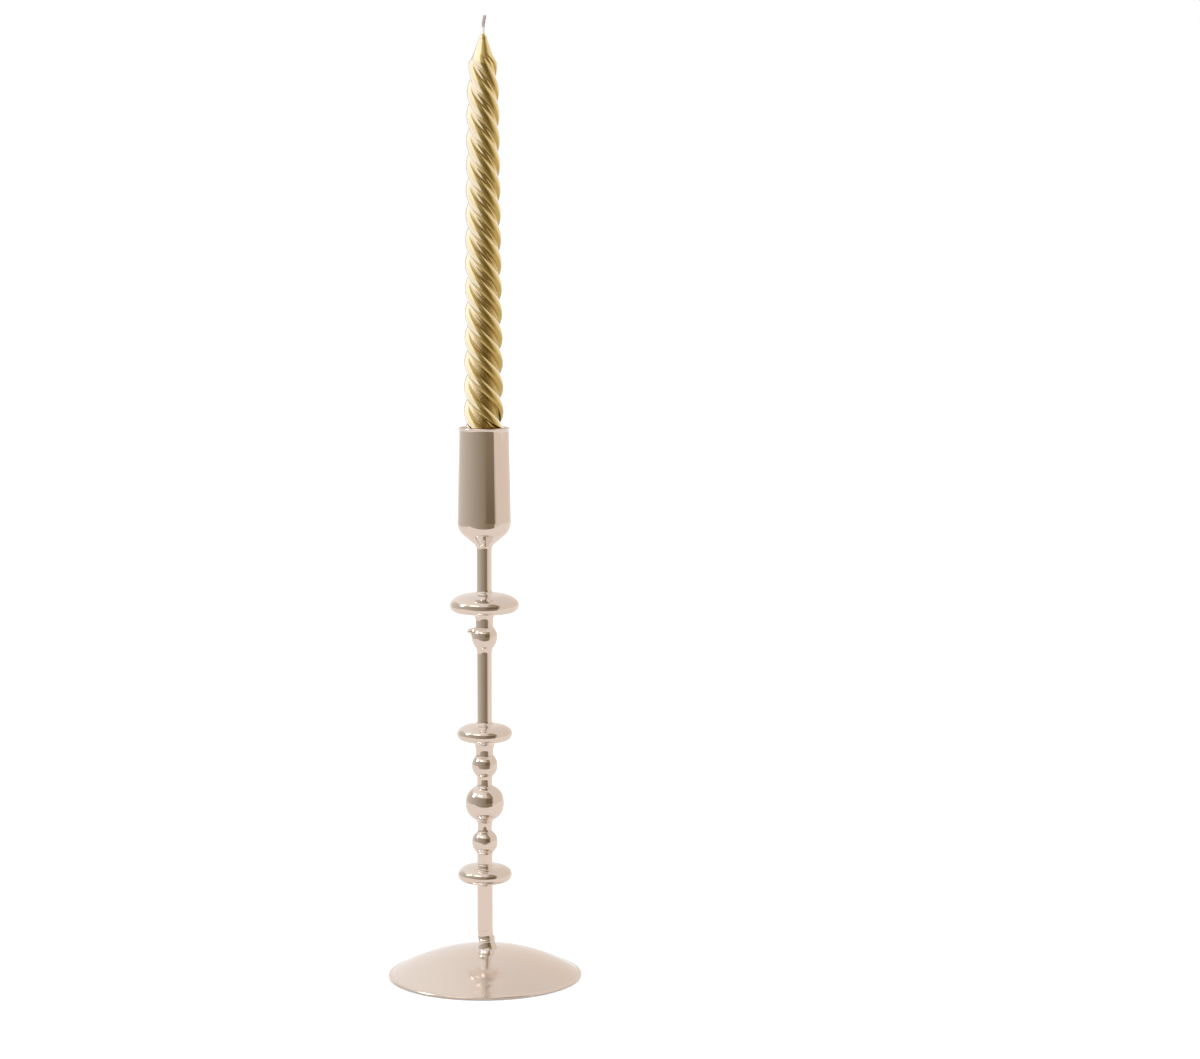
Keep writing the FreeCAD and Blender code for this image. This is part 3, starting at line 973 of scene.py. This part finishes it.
@dataclass
class Cup(TurnedPiece):
    """The candle cup with its funnel-shaped root, thin lip and socket.

    Attributes:
        root: Radius at its foot.
        funnel_start: Radius and height where the funnel starts.
        funnel_end: Radius and height where it ends.
        bulge_height: Height of the widest place.
        waist: Radius under the lip.
        lip: Radius of the lip.
        lip_height: Height of the lip.
        lip_round: Radius of the lip's round.
        mouth: Radius of the opening.
        seat: Radius of the socket's floor.
        floor_height: Height of the socket's floor.
        chamfer: Chamfer round the socket's floor.
        bows: How full the root's, the bulge's and the lip's curves are; less than 0 is hollow.
        steps: Stretches that stand for these three and for the lip's outer and inner round.
    """

    root: float
    funnel_start: Point
    funnel_end: Point
    bulge_height: float
    waist: float
    lip: float
    lip_height: float
    lip_round: float
    mouth: float
    seat: float
    floor_height: float
    chamfer: float
    bows: tuple[float, ...] = (-0.13, 0.105, -0.08)
    steps: tuple[int, ...] = (16, 26, 10, 8, 6)

    def outline(self) -> Outline:
        """Outside up to the lip, then down the socket."""
        bottom, top, inner_round = self.bottom, self.top, self.lip_round / 2
        floor = bottom + self.floor_height
        line = Outline([(self.root, bottom)])
        line.bow((self.funnel_start[0], bottom + self.funnel_start[1]), self.bows[0], self.steps[0])
        line.line((self.funnel_end[0], bottom + self.funnel_end[1]))
        line.bow((self.reach, bottom + self.bulge_height), self.bows[1], self.steps[1])
        line.line((self.waist, top - self.lip_height))
        line.bow((self.lip, top - self.lip_round), self.bows[2], self.steps[2])
        line.bow((self.lip - self.lip_round, top), QUARTER_BOW, self.steps[3])
        line.line((self.mouth + inner_round, top))
        line.bow((self.mouth, top - inner_round), QUARTER_BOW, self.steps[4])
        return line.line((self.seat, floor + self.chamfer), (self.seat - self.chamfer, floor))


@dataclass
class Candlestick:
    """The plated holder and what is inside it, from the foot up.

    Attributes:
        carried: CAD nodes that stay as they are, with the finish that each gets.
    """

    carried: dict[str, Finish] = field(default_factory=lambda: {
        "felt_pad": FELT, "ballast": CAST, "tie_rod": STEEL, "flat_washer": STEEL,
        "spring_washer": STEEL, "hex_nut": STEEL,
    })

    def pieces(self) -> list[TurnedPiece]:
        """Every turned piece with its sizes."""
        on_disc = {"foot_slope": 11.0, "foot_flare": 1.3, "foot_height": 1.5}
        return [
            FootDome("foot_shell"),
            FootCollar("foot_collar", 5.7, 4.25, 1.4, 4.8, 5.4, 1.9),
            Neck("lower_stem", 4.25, 1.0, 2.4, foot_slope=80.0, foot_flare=0.02, foot_height=0.2,
                 top_sink=0.1),
            Disc("lower_disc", 4.4, 3.8, 4.6, 4.2),
            Neck("neck_under_beads", 4.2, 0.8, 2.4, foot_slope=11.0, foot_flare=0.6,
                 foot_height=0.7),
            Bead("lower_small_bead", 6.4, 5.0, 3.85),
            Neck("neck_under_large_bead", 3.85, 1.6, 3.5),
            BallBead("large_bead", 5.45, 4.15),
            Neck("neck_over_large_bead", 4.15, 0.8, 2.4),
            Bead("upper_small_bead", 6.4, 4.95, 4.8),
            Neck("neck_over_beads", 4.8, 1.3, 4.2, top_sink=0.12),
            Disc("middle_disc", 5.2, 3.6, 5.15, 4.05),
            Neck("middle_stem", 4.05, 0.7, 3.5, **on_disc),
            DropBead("collar_bead", 7.0, 6.4, 8.4, 4.75, 4.85, 3.0),
            Neck("top_neck", 4.85, 1.2, 4.3, top_sink=0.12),
            Disc("top_disc", 4.4, 3.9, 5.1, 4.1),
            Neck("upper_stem", 4.1, 0.1, 2.0, **on_disc),
            Cup("candle_cup", root=4.2, funnel_start=(5.6, 3.1), funnel_end=(11.9, 8.4),
                bulge_height=16.0, waist=13.4, lip=14.0, lip_height=2.2, lip_round=0.5, mouth=12.9,
                seat=10.8, floor_height=23.0, chamfer=1.0),
        ]

    def build(self, nodes: dict[str, bpy.types.Object]) -> list[bpy.types.Object]:
        """Turn every plated piece and dress the nodes that stay.

        Args:
            nodes: The CAD nodes by name.

        Returns:
            The plated pieces that the lamps light; the necks have the room alone.
        """
        built = [(part, part.build()) for part in self.pieces()]
        for name, finish in self.carried.items():
            finish.dress(nodes[name])
            LOG.info("%s keeps its CAD shape as %s", name, finish.name)
        return [piece for part, piece in built if not isinstance(part, Neck)]


class ShapeTree(TreeBuilder):
    """A Geometry Nodes tree with named inputs that draws one piece."""

    SOCKETS = {float: "NodeSocketFloat", int: "NodeSocketInt",
               bpy.types.Material: "NodeSocketMaterial"}

    def __init__(self, name: str, values: dict[str, object]) -> None:
        """Start the tree with an input for each value.

        Args:
            name: Name of the tree.
            values: What its inputs are set to, by name; one is the Material.
        """
        super().__init__(bpy.data.node_groups.new(name, "GeometryNodeTree"))
        self.values = values
        new_socket = self.tree.interface.new_socket
        new_socket("Geometry", in_out="OUTPUT", socket_type="NodeSocketGeometry")
        for title, value in values.items():
            new_socket(title, in_out="INPUT", socket_type=self.SOCKETS[type(value)])

    def move(self, shape: bpy.types.Node, place: bpy.types.Node) -> bpy.types.Node:
        """Move a shape's points to new places."""
        return self.add("GeometryNodeSetPosition", {"Geometry": shape, "Position": place})

    def run(self, name: str, shape: bpy.types.Node, sharp_degrees: float) -> bpy.types.Object:
        """End the tree, run it once and keep what it makes as a plain mesh.

        Args:
            name: Name of the piece.
            shape: The node that gives the shape.
            sharp_degrees: Edges that turn by more stay sharp.

        Returns:
            The piece, with no modifier on it.
        """
        real = self.add("GeometryNodeRealizeInstances", {0: shape})
        dressed = self.add("GeometryNodeSetMaterial",
                           {"Geometry": real, "Material": self.given()["Material"]})
        self.add("NodeGroupOutput", {0: dressed})
        carrier = bpy.data.objects.new(name + "_source", bpy.data.meshes.new(name + "_source"))
        bpy.context.scene.collection.objects.link(carrier)
        modifier = carrier.modifiers.new(name, "NODES")
        modifier.node_group = self.tree
        for socket in self.tree.interface.items_tree:
            if socket.in_out == "INPUT":
                modifier[socket.identifier] = self.values[socket.name]
        bpy.context.view_layer.update()
        made = carrier.evaluated_get(bpy.context.evaluated_depsgraph_get())
        plain = bpy.data.meshes.new_from_object(made)
        bpy.data.objects.remove(carrier)
        mesh = bmesh.new()
        mesh.from_mesh(plain)
        bpy.data.meshes.remove(plain)
        return finished_mesh(name, mesh, sharp_degrees)


@dataclass
class TwistedCandle(CadPiece):
    """The twisted taper: lobed, tapering, with fine ribs in its valleys and a smooth cone.

    Attributes:
        node: Name of the CAD node that it stands for.
        cup: CAD piece whose top the twisted part starts at.
        sink: How far the twisted part starts below that top.
        seat_radius: Radius of the plain seat in the cup.
        seat_chamfer: Chamfer at the seat's foot.
        seat_lathe: The lathe that turns the seat.
        crest_base: Radius of the lobes at the bottom.
        crest_top: Radius of the lobes at the top, if they went on.
        depth_base: Depth of the valleys at the bottom.
        depth_top: Depth of the valleys at the top.
        lobes: How many lobes there are.
        lobe_fall: How a lobe falls from its crest, 0, to the valley, 1.
        lead: Height of one full turn.
        crest_mark: Height above the rim where a lobe faces +X.
        valley_share: Share of the pitch that the ribbed valley takes, at the foot and further up.
        ribs: Waves of ribs in half a valley, at the foot and further up.
        lower_span: Shares of the length between which these two change.
        rib_height: Height of the fine ribs.
        rib_fade: Shares of the length between which the ribs get lower.
        rib_left: Share of their height that is left there.
        rib_edge: Shares of half a valley between which the ribs end at its side.
        shoulder: Radius of the turned end and height below the tip, from the shoulder up.
        end_height: Height of the whole turned end.
        blend: How softly the lobes run into the turned end.
        cone_fade: Heights below the tip where the valleys start to fade and where they end.
        sleeve: Wax drawn up the wick, as radius and height above the tip.
        sleeve_lathe: The lathe that turns the sleeve.
        around: Vertices round the candle.
        along: Vertices along it.
        sharp_degrees: Edges that turn by more stay sharp.
    """

    node: str = "candle"
    cup: CadPiece = field(default_factory=lambda: CadPiece("candle_cup"))
    sink: float = 0.6
    seat_radius: float = 10.45
    seat_chamfer: float = 1.2
    seat_lathe: Lathe = Lathe(segments=96)
    crest_base: float = 11.0
    crest_top: float = 8.4
    depth_base: float = 3.1
    depth_top: float = 1.5
    lobes: int = 4
    lobe_fall: tuple[Point, ...] = (
        (0.0, 0.0), (0.2, 0.025), (0.4, 0.11), (0.6, 0.27), (0.75, 0.45), (0.88, 0.68),
        (0.96, 0.88), (1.0, 1.0))
    lead: float = 52.2
    crest_mark: float = 8.8
    valley_share: Point = (0.29, 0.27)
    ribs: Point = (1.5, 0.5)
    lower_span: Point = (0.05, 0.45)
    rib_height: float = 0.38
    rib_fade: Point = (0.3, 0.95)
    rib_left: float = 0.45
    rib_edge: Point = (0.8, 1.0)
    shoulder: tuple[Point, ...] = (
        (8.75, 29.0), (8.3, 24.6), (7.8, 20.5), (7.7, 14.6), (6.75, 12.2), (5.5, 9.8), (4.4, 7.2),
        (3.45, 4.7), (2.4, 2.0), (1.7, 0.0))
    end_height: float = 36.0
    blend: float = 0.6
    cone_fade: Point = (18.0, 8.5)
    sleeve: tuple[Point, ...] = (
        (2.5, -2.5), (2.3, -1.2), (1.95, -0.2), (1.5, 0.4), (1.1, 0.7), (0.85, 0.8))
    sleeve_lathe: Lathe = Lathe(segments=64, sharp_degrees=60.0)
    around: int = 321
    along: int = 290
    sharp_degrees: float = 75.0

    @property
    def length(self) -> float:
        """Height of the twisted part with its cone."""
        return self.top - self.cup.top + self.sink

    def values(self) -> dict[str, object]:
        """What the tree's inputs are set to, lengths in metres."""
        lengths = {"Bottom": self.cup.top - self.sink, "Length": self.length,
                   "Crest base": self.crest_base, "Crest top": self.crest_top,
                   "Depth base": self.depth_base, "Depth top": self.depth_top, "Lead": self.lead,
                   "Crest mark": self.cup.top + self.crest_mark, "Rib height": self.rib_height}
        return {name: length * MM for name, length in lengths.items()} | {
            "Valley base": self.valley_share[0], "Valley top": self.valley_share[1],
            "Lobes": float(self.lobes), "Around": self.around, "Along": self.along,
            "Material": WAX.material()}

    def radius_at(self, make: ShapeTree, across: Number, share: Number) -> Number:
        """The candle's radius at a place on its twisted grid.

        Args:
            make: Builder of the tree.
            across: Share of a turn from the first lobe's crest, along the twist.
            share: Share of the twisted part's length below the place.

        Returns:
            The radius in metres.
        """
        given, length = make.given(), self.length
        phase = make.math(MathStep.FRACTION, across * given["Lobes"])
        inward = 1.0 - make.math(MathStep.ABSOLUTE, phase - 0.5) * 2.0
        valley = make.remap(share, *self.lower_span, given["Valley base"], given["Valley top"])
        near_end = make.remap(share, 1 - self.end_height / length, 1.0, 0.0, 1.0)
        points = [(0.0, 1.0)] + [(1 - below / self.end_height, radius / self.crest_base)
                                 for radius, below in self.shoulder]
        turned_end = make.curve(near_end, points) * given["Crest base"]
        on_lobe = make.math(MathStep.MINIMUM, inward / (1.0 - valley), 1.0)
        crest, depth = (given[size + " base"]
                        + share * (given[size + " top"] - given[size + " base"])
                        for size in ("Crest", "Depth"))
        crest = make.math(MathStep.SMOOTH_MINIMUM, crest, turned_end, self.blend * MM)
        fade = make.remap(share, *(1 - below / length for below in self.cone_fade), 1.0, 0.0, True)
        lobed = crest - make.curve(on_lobe, list(self.lobe_fall)) * (depth * fade)
        middle = (1.0 - inward) / valley
        waves = make.remap(share, *self.lower_span, *self.ribs)
        raised = make.math(MathStep.COSINE, middle * waves * FULL_TURN) * 0.5 + 0.5
        height = given["Rib height"] * make.remap(share, *self.rib_fade, 1.0, self.rib_left)
        rib = raised * make.remap(middle, *self.rib_edge, 1.0, 0.0) * height * fade
        return lobed + rib

    def twist(self) -> bpy.types.Object:
        """Draw the twisted part on a grid whose first and last rows close on the axis."""
        make = ShapeTree("twisted candle", self.values())
        given = make.given()
        grid = make.add("GeometryNodeMeshGrid",
                        {"Vertices X": given["Around"], "Vertices Y": given["Along"]})
        x, y, _ = make.axes(make.add("GeometryNodeInputPosition"))
        across, share = x + 0.5, y + 0.5
        height = given["Bottom"] + share * given["Length"]
        angle = (across - (height - given["Crest mark"]) / given["Lead"]) * FULL_TURN
        row = 0.5 / given["Along"]
        inside = (make.math(MathStep.GREATER, share, row)
                  * make.math(MathStep.GREATER, 1.0 - share, row))
        radius = self.radius_at(make, across, share) * inside
        place = make.vector(radius * make.math(MathStep.COSINE, angle),
                            radius * make.math(MathStep.SINE, angle), height)
        closed = make.add("GeometryNodeMergeByDistance",
                          {"Geometry": make.move(grid, place), "Distance": WELD})
        return make.run("candle_twist", closed, self.sharp_degrees)

    def build(self) -> list[bpy.types.Object]:
        """Build the twisted part, the plain seat below it and the wax on the wick."""
        twisted = self.twist()
        foot, rim, tip = self.bottom, self.cup.top, self.top
        seat = Outline([(self.seat_radius - self.seat_chamfer, foot),
                        (self.seat_radius, foot + self.seat_chamfer), (self.seat_radius, rim)])
        plain = self.seat_lathe.turn("candle_seat", seat)
        sleeve = Outline([(radius, tip + above) for radius, above in self.sleeve])
        drawn = self.sleeve_lathe.turn("candle_wick_sleeve", sleeve)
        for piece in (twisted, plain, drawn):
            WAX.dress(piece)
            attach(piece, Body.CANDLE.value)
            log_piece(piece)
        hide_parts(self.node)
        return [twisted, plain, drawn]


@dataclass
class Wick(CadPiece):
    """The twisted wick, straight at first and leaning to +X above.

    Attributes:
        node: Name of the CAD node that it stands for.
        strand_radius: Radius of one strand.
        strand_offset: How far a strand's middle stands off the wick's.
        strands: How many strands are twisted.
        lead: Height of one full turn of a strand.
        straight: Height of the straight stretch above the candle's tip.
        bend_radius: Radius of the bend.
        most_bend: Largest bend in radians.
        buried: How far the wick starts below the tip.
        steps: Points along each strand.
        sides: Sides of a strand.
        sharp_degrees: Edges that turn by more stay sharp.
    """

    node: str = "wick"
    strand_radius: float = 0.56
    strand_offset: float = 0.42
    strands: int = 3
    lead: float = 6.0
    straight: float = 3.0
    bend_radius: float = 28.0
    most_bend: float = 10.0
    buried: float = 3.0
    steps: int = 90
    sides: int = 12
    sharp_degrees: float = 60.0

    def values(self, tip: float) -> dict[str, object]:
        """What the tree's inputs are set to, for a candle's tip at a height."""
        lengths = {"Tip": tip + self.straight, "Start": tip - self.buried,
                   "End": self.top - self.strand_radius, "Strand radius": self.strand_radius,
                   "Strand offset": self.strand_offset, "Lead": self.lead,
                   "Bend radius": self.bend_radius}
        return {name: length * MM for name, length in lengths.items()} | {
            "Strands": self.strands, "Steps": self.steps, "Sides": self.sides,
            "Material": COTTON.material()}

    def twist(self, tip: float) -> bpy.types.Object:
        """Turn strands about a line that bends above the candle's tip.

        Args:
            tip: Height of the candle's tip.

        Returns:
            The strands in one piece.
        """
        make = ShapeTree("twisted wick", self.values(tip))
        given = make.given()
        ends = {name: make.vector(0.0, 0.0, given[name]) for name in ("Start", "End")}
        line = make.add("GeometryNodeCurvePrimitiveLine", ends)
        fine = make.add("GeometryNodeResampleCurve", {"Curve": line, "Count": given["Steps"]})
        spots = make.add("GeometryNodeMeshLine",
                         {"Count": given["Strands"], "Offset": (0.0, 0.0, 0.0)})
        copies = make.add("GeometryNodeInstanceOnPoints", {"Points": spots, "Instance": fine})
        single = make.add("GeometryNodeRealizeInstances", {0: copies})
        height = make.axes(make.add("GeometryNodeInputPosition"))[2]
        curve = make.add("GeometryNodeCurveOfPoint").outputs["Curve Index"]
        angle = (Number(make, curve) / given["Strands"] + height / given["Lead"]) * FULL_TURN
        past = (height - given["Tip"]) / given["Bend radius"]
        bend = make.remap(past, 0.0, self.most_bend, 0.0, self.most_bend)
        lean = given["Bend radius"] * (1.0 - make.math(MathStep.COSINE, bend))
        place = make.vector(
            lean + given["Strand offset"] * make.math(MathStep.COSINE, angle),
            given["Strand offset"] * make.math(MathStep.SINE, angle), height)
        circle = make.add("GeometryNodeCurvePrimitiveCircle",
                          {"Resolution": given["Sides"], "Radius": given["Strand radius"]})
        tube = make.add("GeometryNodeCurveToMesh", {
            "Curve": make.move(single, place), "Profile Curve": circle, "Fill Caps": True})
        return make.run("wick_strands", tube, self.sharp_degrees)

    def build(self, tip: float) -> bpy.types.Object:
        """Twist the wick and put it in the CAD node's place.

        Args:
            tip: Height of the candle's tip.

        Returns:
            The wick.
        """
        piece = self.twist(tip)
        COTTON.dress(piece)
        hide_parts(self.node)
        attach(piece, Body.CANDLE.value)
        log_piece(piece)
        return piece


@dataclass(frozen=True)
class Lamp:
    """A soft rectangular light.

    Attributes:
        name: Name of the light.
        azimuth: Degrees from the camera's side to the right.
        elevation: Degrees above the level.
        distance: Metres from the point that it shines at.
        size: Width and height.
        radiance: How bright its face is; 1 is white.
        colour: Its colour.
        body: The body that it lights.
        aim: Height of the point that it shines at.
    """

    name: str
    azimuth: float
    elevation: float
    distance: float
    size: Point
    radiance: float
    colour: Colour
    body: Body = Body.HOLDER
    aim: float = 0.2

    def direction(self) -> Vector:
        """Unit vector from the object to the light."""
        around, up = math.radians(self.azimuth), math.radians(self.elevation)
        return Vector((math.sin(around) * math.cos(up), -math.cos(around) * math.cos(up),
                       math.sin(up)))

    def build(self, lit: dict[Body, bpy.types.Collection]) -> None:
        """Place the light, aim it and keep it to its body.

        Args:
            lit: Collection of the pieces of each body.
        """
        light = bpy.data.lights.new(self.name, "AREA")
        light.shape = "RECTANGLE"
        light.size, light.size_y = self.size
        light.color = self.colour
        light.energy = self.radiance * math.pi * self.size[0] * self.size[1]
        lamp = bpy.data.objects.new(self.name, light)
        lamp.location = Vector((0.0, 0.0, self.aim)) + self.direction() * self.distance
        lamp.rotation_euler = self.direction().to_track_quat("Z", "Y").to_euler()
        lamp.light_linking.receiver_collection = lit[self.body]
        lamp.visible_camera = False
        bpy.context.scene.collection.objects.link(lamp)


@dataclass(frozen=True)
class Patch:
    """A part of the room with a tone of its own.

    Attributes:
        azimuths: Left and right edge in degrees.
        elevations: Lower and upper edge in degrees.
        soft: How wide the upright and the level edges are, in degrees.
        colour: Its colour.
    """

    azimuths: Point
    elevations: Point
    soft: Point
    colour: Colour

    def over(self, make: TreeBuilder, azimuth: Number, elevation: Number,
             under: bpy.types.NodeSocket) -> bpy.types.NodeSocket:
        """Lay the patch over the colour under it.

        Args:
            make: Builder of the room's material.
            azimuth: Azimuth of the point in degrees.
            elevation: Elevation of the point in degrees.
            under: Colour of the room so far.

        Returns:
            The new colour.
        """
        sides = ((azimuth, self.azimuths, self.soft[0]), (elevation, self.elevations, self.soft[1]))
        across, up = (make.edge(value, low, soft, 1.0) * make.edge(value, high, soft, 0.0)
                      for value, (low, high), soft in sides)
        return make.mix(across * up, under, self.colour)


@dataclass
class Studio:
    """White floor and background, the room that the plating mirrors, the lights and the camera.

    Attributes:
        floor_front: How far the floor goes towards the camera.
        floor_left: How far it goes to the left.
        floor_reach: How far it goes to the back and to the right.
        floor_sink: How far it lies below the object.
        floor_tone: Base colour of the floor.
        floor_glow: Light that the camera sees on the floor besides its own.
        day: Strength of the even light on everything that isn't a mirror.
        room_radius: Radius of the room that only mirrors see.
        room_height: Height of the room's middle.
        room_facets: Facets round the room and up it.
        dark: Colour of the dark front of the room near the camera.
        dusk: Colour at the left end of the dark front.
        dusk_turn: Azimuths between which the one goes over into the other.
        wall: Colour of the pale right and back wall.
        ceiling: Colour of the ceiling.
        window: Colour of the room's left side.
        window_span: Shares of the radius to the right between which that side begins.
        dark_right: Azimuth where the dark front ends with a sharp edge, and the edge's width.
        dark_left: Azimuth where it ends softly, and that edge's width.
        dark_top: Elevation where it ends, lowest and highest of the soft edge.
        camera_distance: Distance from the axis to the camera.
        camera_height: Height of the camera.
        camera_pitch: Degrees that the camera looks down.
        camera_turn: Degrees that it looks to the right of the axis.
        camera_roll: Degrees that it is turned about its own line of sight.
        lens: Focal length in millimetres.
        sensor: Width of the sensor in millimetres.
    """

    floor_front: float = 0.335
    floor_left: float = 0.75
    floor_reach: float = 14.0
    floor_sink: float = 0.05 * MM
    floor_tone: float = 0.92
    floor_glow: float = 0.35
    day: float = 1.12
    room_radius: float = 3.0
    room_height: float = 0.15
    room_facets: tuple[int, int] = (96, 48)
    dark: Colour = (0.31, 0.275, 0.20)
    dusk: Colour = (0.80, 0.82, 0.80)
    dusk_turn: Point = (15.0, -130.0)
    wall: Colour = (0.93, 0.89, 0.84)
    ceiling: Colour = (0.91, 0.91, 0.91)
    window: Colour = (1.10, 1.14, 1.18)
    window_span: Point = (0.35, -0.6)
    dark_right: Point = (46.0, 1.4)
    dark_left: Point = (-143.0, 16.0)
    dark_top: Point = (29.0, 37.0)
    camera_distance: float = 1.610
    camera_height: float = 0.4257
    camera_pitch: float = 6.406
    camera_turn: float = 2.214
    camera_roll: float = 0.115
    lens: float = 90.45
    sensor: float = 36.0

    def patches(self) -> list[Patch]:
        """The dark doorway in the front, the dim part over it and the dark post beside it."""
        return [
            Patch((8.0, 50.0), (-1.0, 27.0), (16.0, 6.0), (0.21, 0.175, 0.12)),
            Patch((18.0, 54.0), (30.0, 68.0), (15.0, 12.0), (0.48, 0.41, 0.31)),
            Patch((46.0, 56.0), (20.0, 72.0), (5.0, 14.0), (0.30, 0.25, 0.19)),
        ]

    def lamps(self) -> list[Lamp]:
        """The two soft lights at the holder's upper left and the candle's own two."""
        wax = Body.CANDLE
        return [
            Lamp("white_lamp", -86.0, 32.0, 1.3, (0.32, 0.42), 12.0, (1.0, 0.99, 0.96)),
            Lamp("warm_lamp", -40.0, 43.0, 1.3, (0.62, 0.30), 1.7, (1.0, 0.92, 0.84)),
            Lamp("wax_lamp", -79.0, 0.0, 0.8, (2.1, 2.3), 1.62, (0.80, 1.06, 2.6), wax, 1.17),
            Lamp("wax_fill", 122.0, 12.0, 0.9, (2.0, 2.2), 0.8, (0.80, 0.94, 1.5), wax, 0.4),
        ]

    def world(self) -> None:
        """White for the camera, an even day for the rest."""
        world = bpy.data.worlds.new("studio")
        bpy.context.scene.world = world
        world.use_nodes = True
        make = TreeBuilder(world.node_tree)
        seen = make.add("ShaderNodeLightPath").outputs["Is Camera Ray"]
        make.feed(world.node_tree.nodes["Background"], {
            "Color": WHITE, "Strength": make.remap(seen, 0.0, 1.0, self.day, 1.0)})

    def floor(self) -> None:
        """A plain white floor that ends before the camera."""
        mesh = bmesh.new()
        left, right = (-self.floor_left, self.floor_reach)
        front, back = (-self.floor_front, self.floor_reach)
        corners = ((left, front), (right, front), (right, back), (left, back))
        mesh.faces.new([mesh.verts.new((x, y, -self.floor_sink)) for x, y in corners])
        floor = finished_mesh("studio_floor", mesh, 30.0)
        material, make = new_material("studio floor")
        seen = Number(make, make.add("ShaderNodeLightPath").outputs["Is Camera Ray"])
        make.feed(make.tree.nodes["Principled BSDF"], {
            "Base Color": (self.floor_tone, self.floor_tone, self.floor_tone, 1.0),
            "Roughness": 0.95, "Specular IOR Level": 0.1, "Emission Color": WHITE,
            "Emission Strength": seen * self.floor_glow})
        floor.data.materials.append(material)

    def room_colour(self, make: TreeBuilder) -> bpy.types.NodeSocket:
        """The room's colour by the direction from its middle.

        Args:
            make: Builder of the room's material.

        Returns:
            The colour.
        """
        x, y, z = make.axes(make.own_place())
        azimuth = make.math(MathStep.ANGLE, x, y * -1.0) * math.degrees(1.0)
        rise = (z - self.room_height) / self.room_radius
        elevation = make.math(MathStep.ARC_SINE, rise) * math.degrees(1.0)
        share = (make.edge(azimuth, *self.dark_right, 0.0)
                 * make.edge(azimuth, *self.dark_left, 1.0)
                 * make.remap(elevation, *self.dark_top, 1.0, 0.0, True))
        shade = make.mix(make.remap(azimuth, *self.dusk_turn, 0.0, 1.0), self.dark, self.dusk)
        upward = make.remap(elevation, *self.dark_top, 0.0, 1.0, True)
        span = (end * self.room_radius for end in self.window_span)
        leftward = make.remap(x, *span, 0.0, 1.0, True)
        light = make.mix(leftward, make.mix(upward, self.wall, self.ceiling), self.window)
        colour = make.mix(share, light, shade)
        for patch in self.patches():
            colour = patch.over(make, azimuth, elevation, colour)
        return colour

    def room(self) -> None:
        """The room round the set, which only mirrors see."""
        mesh = bmesh.new()
        around, up = self.room_facets
        bmesh.ops.create_uvsphere(mesh, u_segments=around, v_segments=up, radius=self.room_radius)
        bmesh.ops.translate(mesh, verts=mesh.verts, vec=(0, 0, self.room_height))
        room = finished_mesh("studio_room", mesh, 60.0)
        material, make = new_material("studio room")
        make.tree.nodes.clear()
        glow = make.add("ShaderNodeEmission", {"Color": self.room_colour(make)})
        make.add("ShaderNodeOutputMaterial", {"Surface": glow})
        room.data.materials.append(material)
        for ray in ("camera", "diffuse", "transmission", "volume_scatter", "shadow"):
            setattr(room, "visible_" + ray, False)

    def camera(self) -> None:
        """The camera, as fitted to the photograph."""
        data = bpy.data.cameras.new("camera")
        data.sensor_width = self.sensor
        data.lens = self.lens
        camera = bpy.data.objects.new("camera", data)
        camera.location = (0.0, -self.camera_distance, self.camera_height)
        aim = Euler((math.radians(90.0 - self.camera_pitch), 0.0, -math.radians(self.camera_turn)))
        roll = Matrix.Rotation(math.radians(self.camera_roll), 3, "Z")
        camera.rotation_euler = (aim.to_matrix() @ roll).to_euler()
        bpy.context.scene.collection.objects.link(camera)
        bpy.context.scene.camera = camera

    def build(self, pieces: dict[Body, list[bpy.types.Object]]) -> None:
        """Set up the whole studio.

        Args:
            pieces: The pieces of each body that lamps shine on.
        """
        lit = {}
        for body, shown in pieces.items():
            lit[body] = bpy.data.collections.new("lit_" + body.value)
            for piece in shown:
                lit[body].objects.link(piece)
        self.world()
        self.floor()
        self.room()
        for lamp in self.lamps():
            lamp.build(lit)
        self.camera()
        bpy.context.scene.view_settings.view_transform = "Standard"
        LOG.info("studio with %d lamps", len(self.lamps()))


def main() -> None:
    """Build the whole scene piece by piece."""
    logging.basicConfig(level=logging.INFO, format="%(message)s")
    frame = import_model()
    lit = Candlestick().build(frame["nodes"])
    taper = TwistedCandle()
    candle = taper.build()
    wick = Wick().build(taper.top)
    Studio().build({Body.HOLDER: lit, Body.CANDLE: [*candle, wick]})


if __name__ == "__main__":
    main()
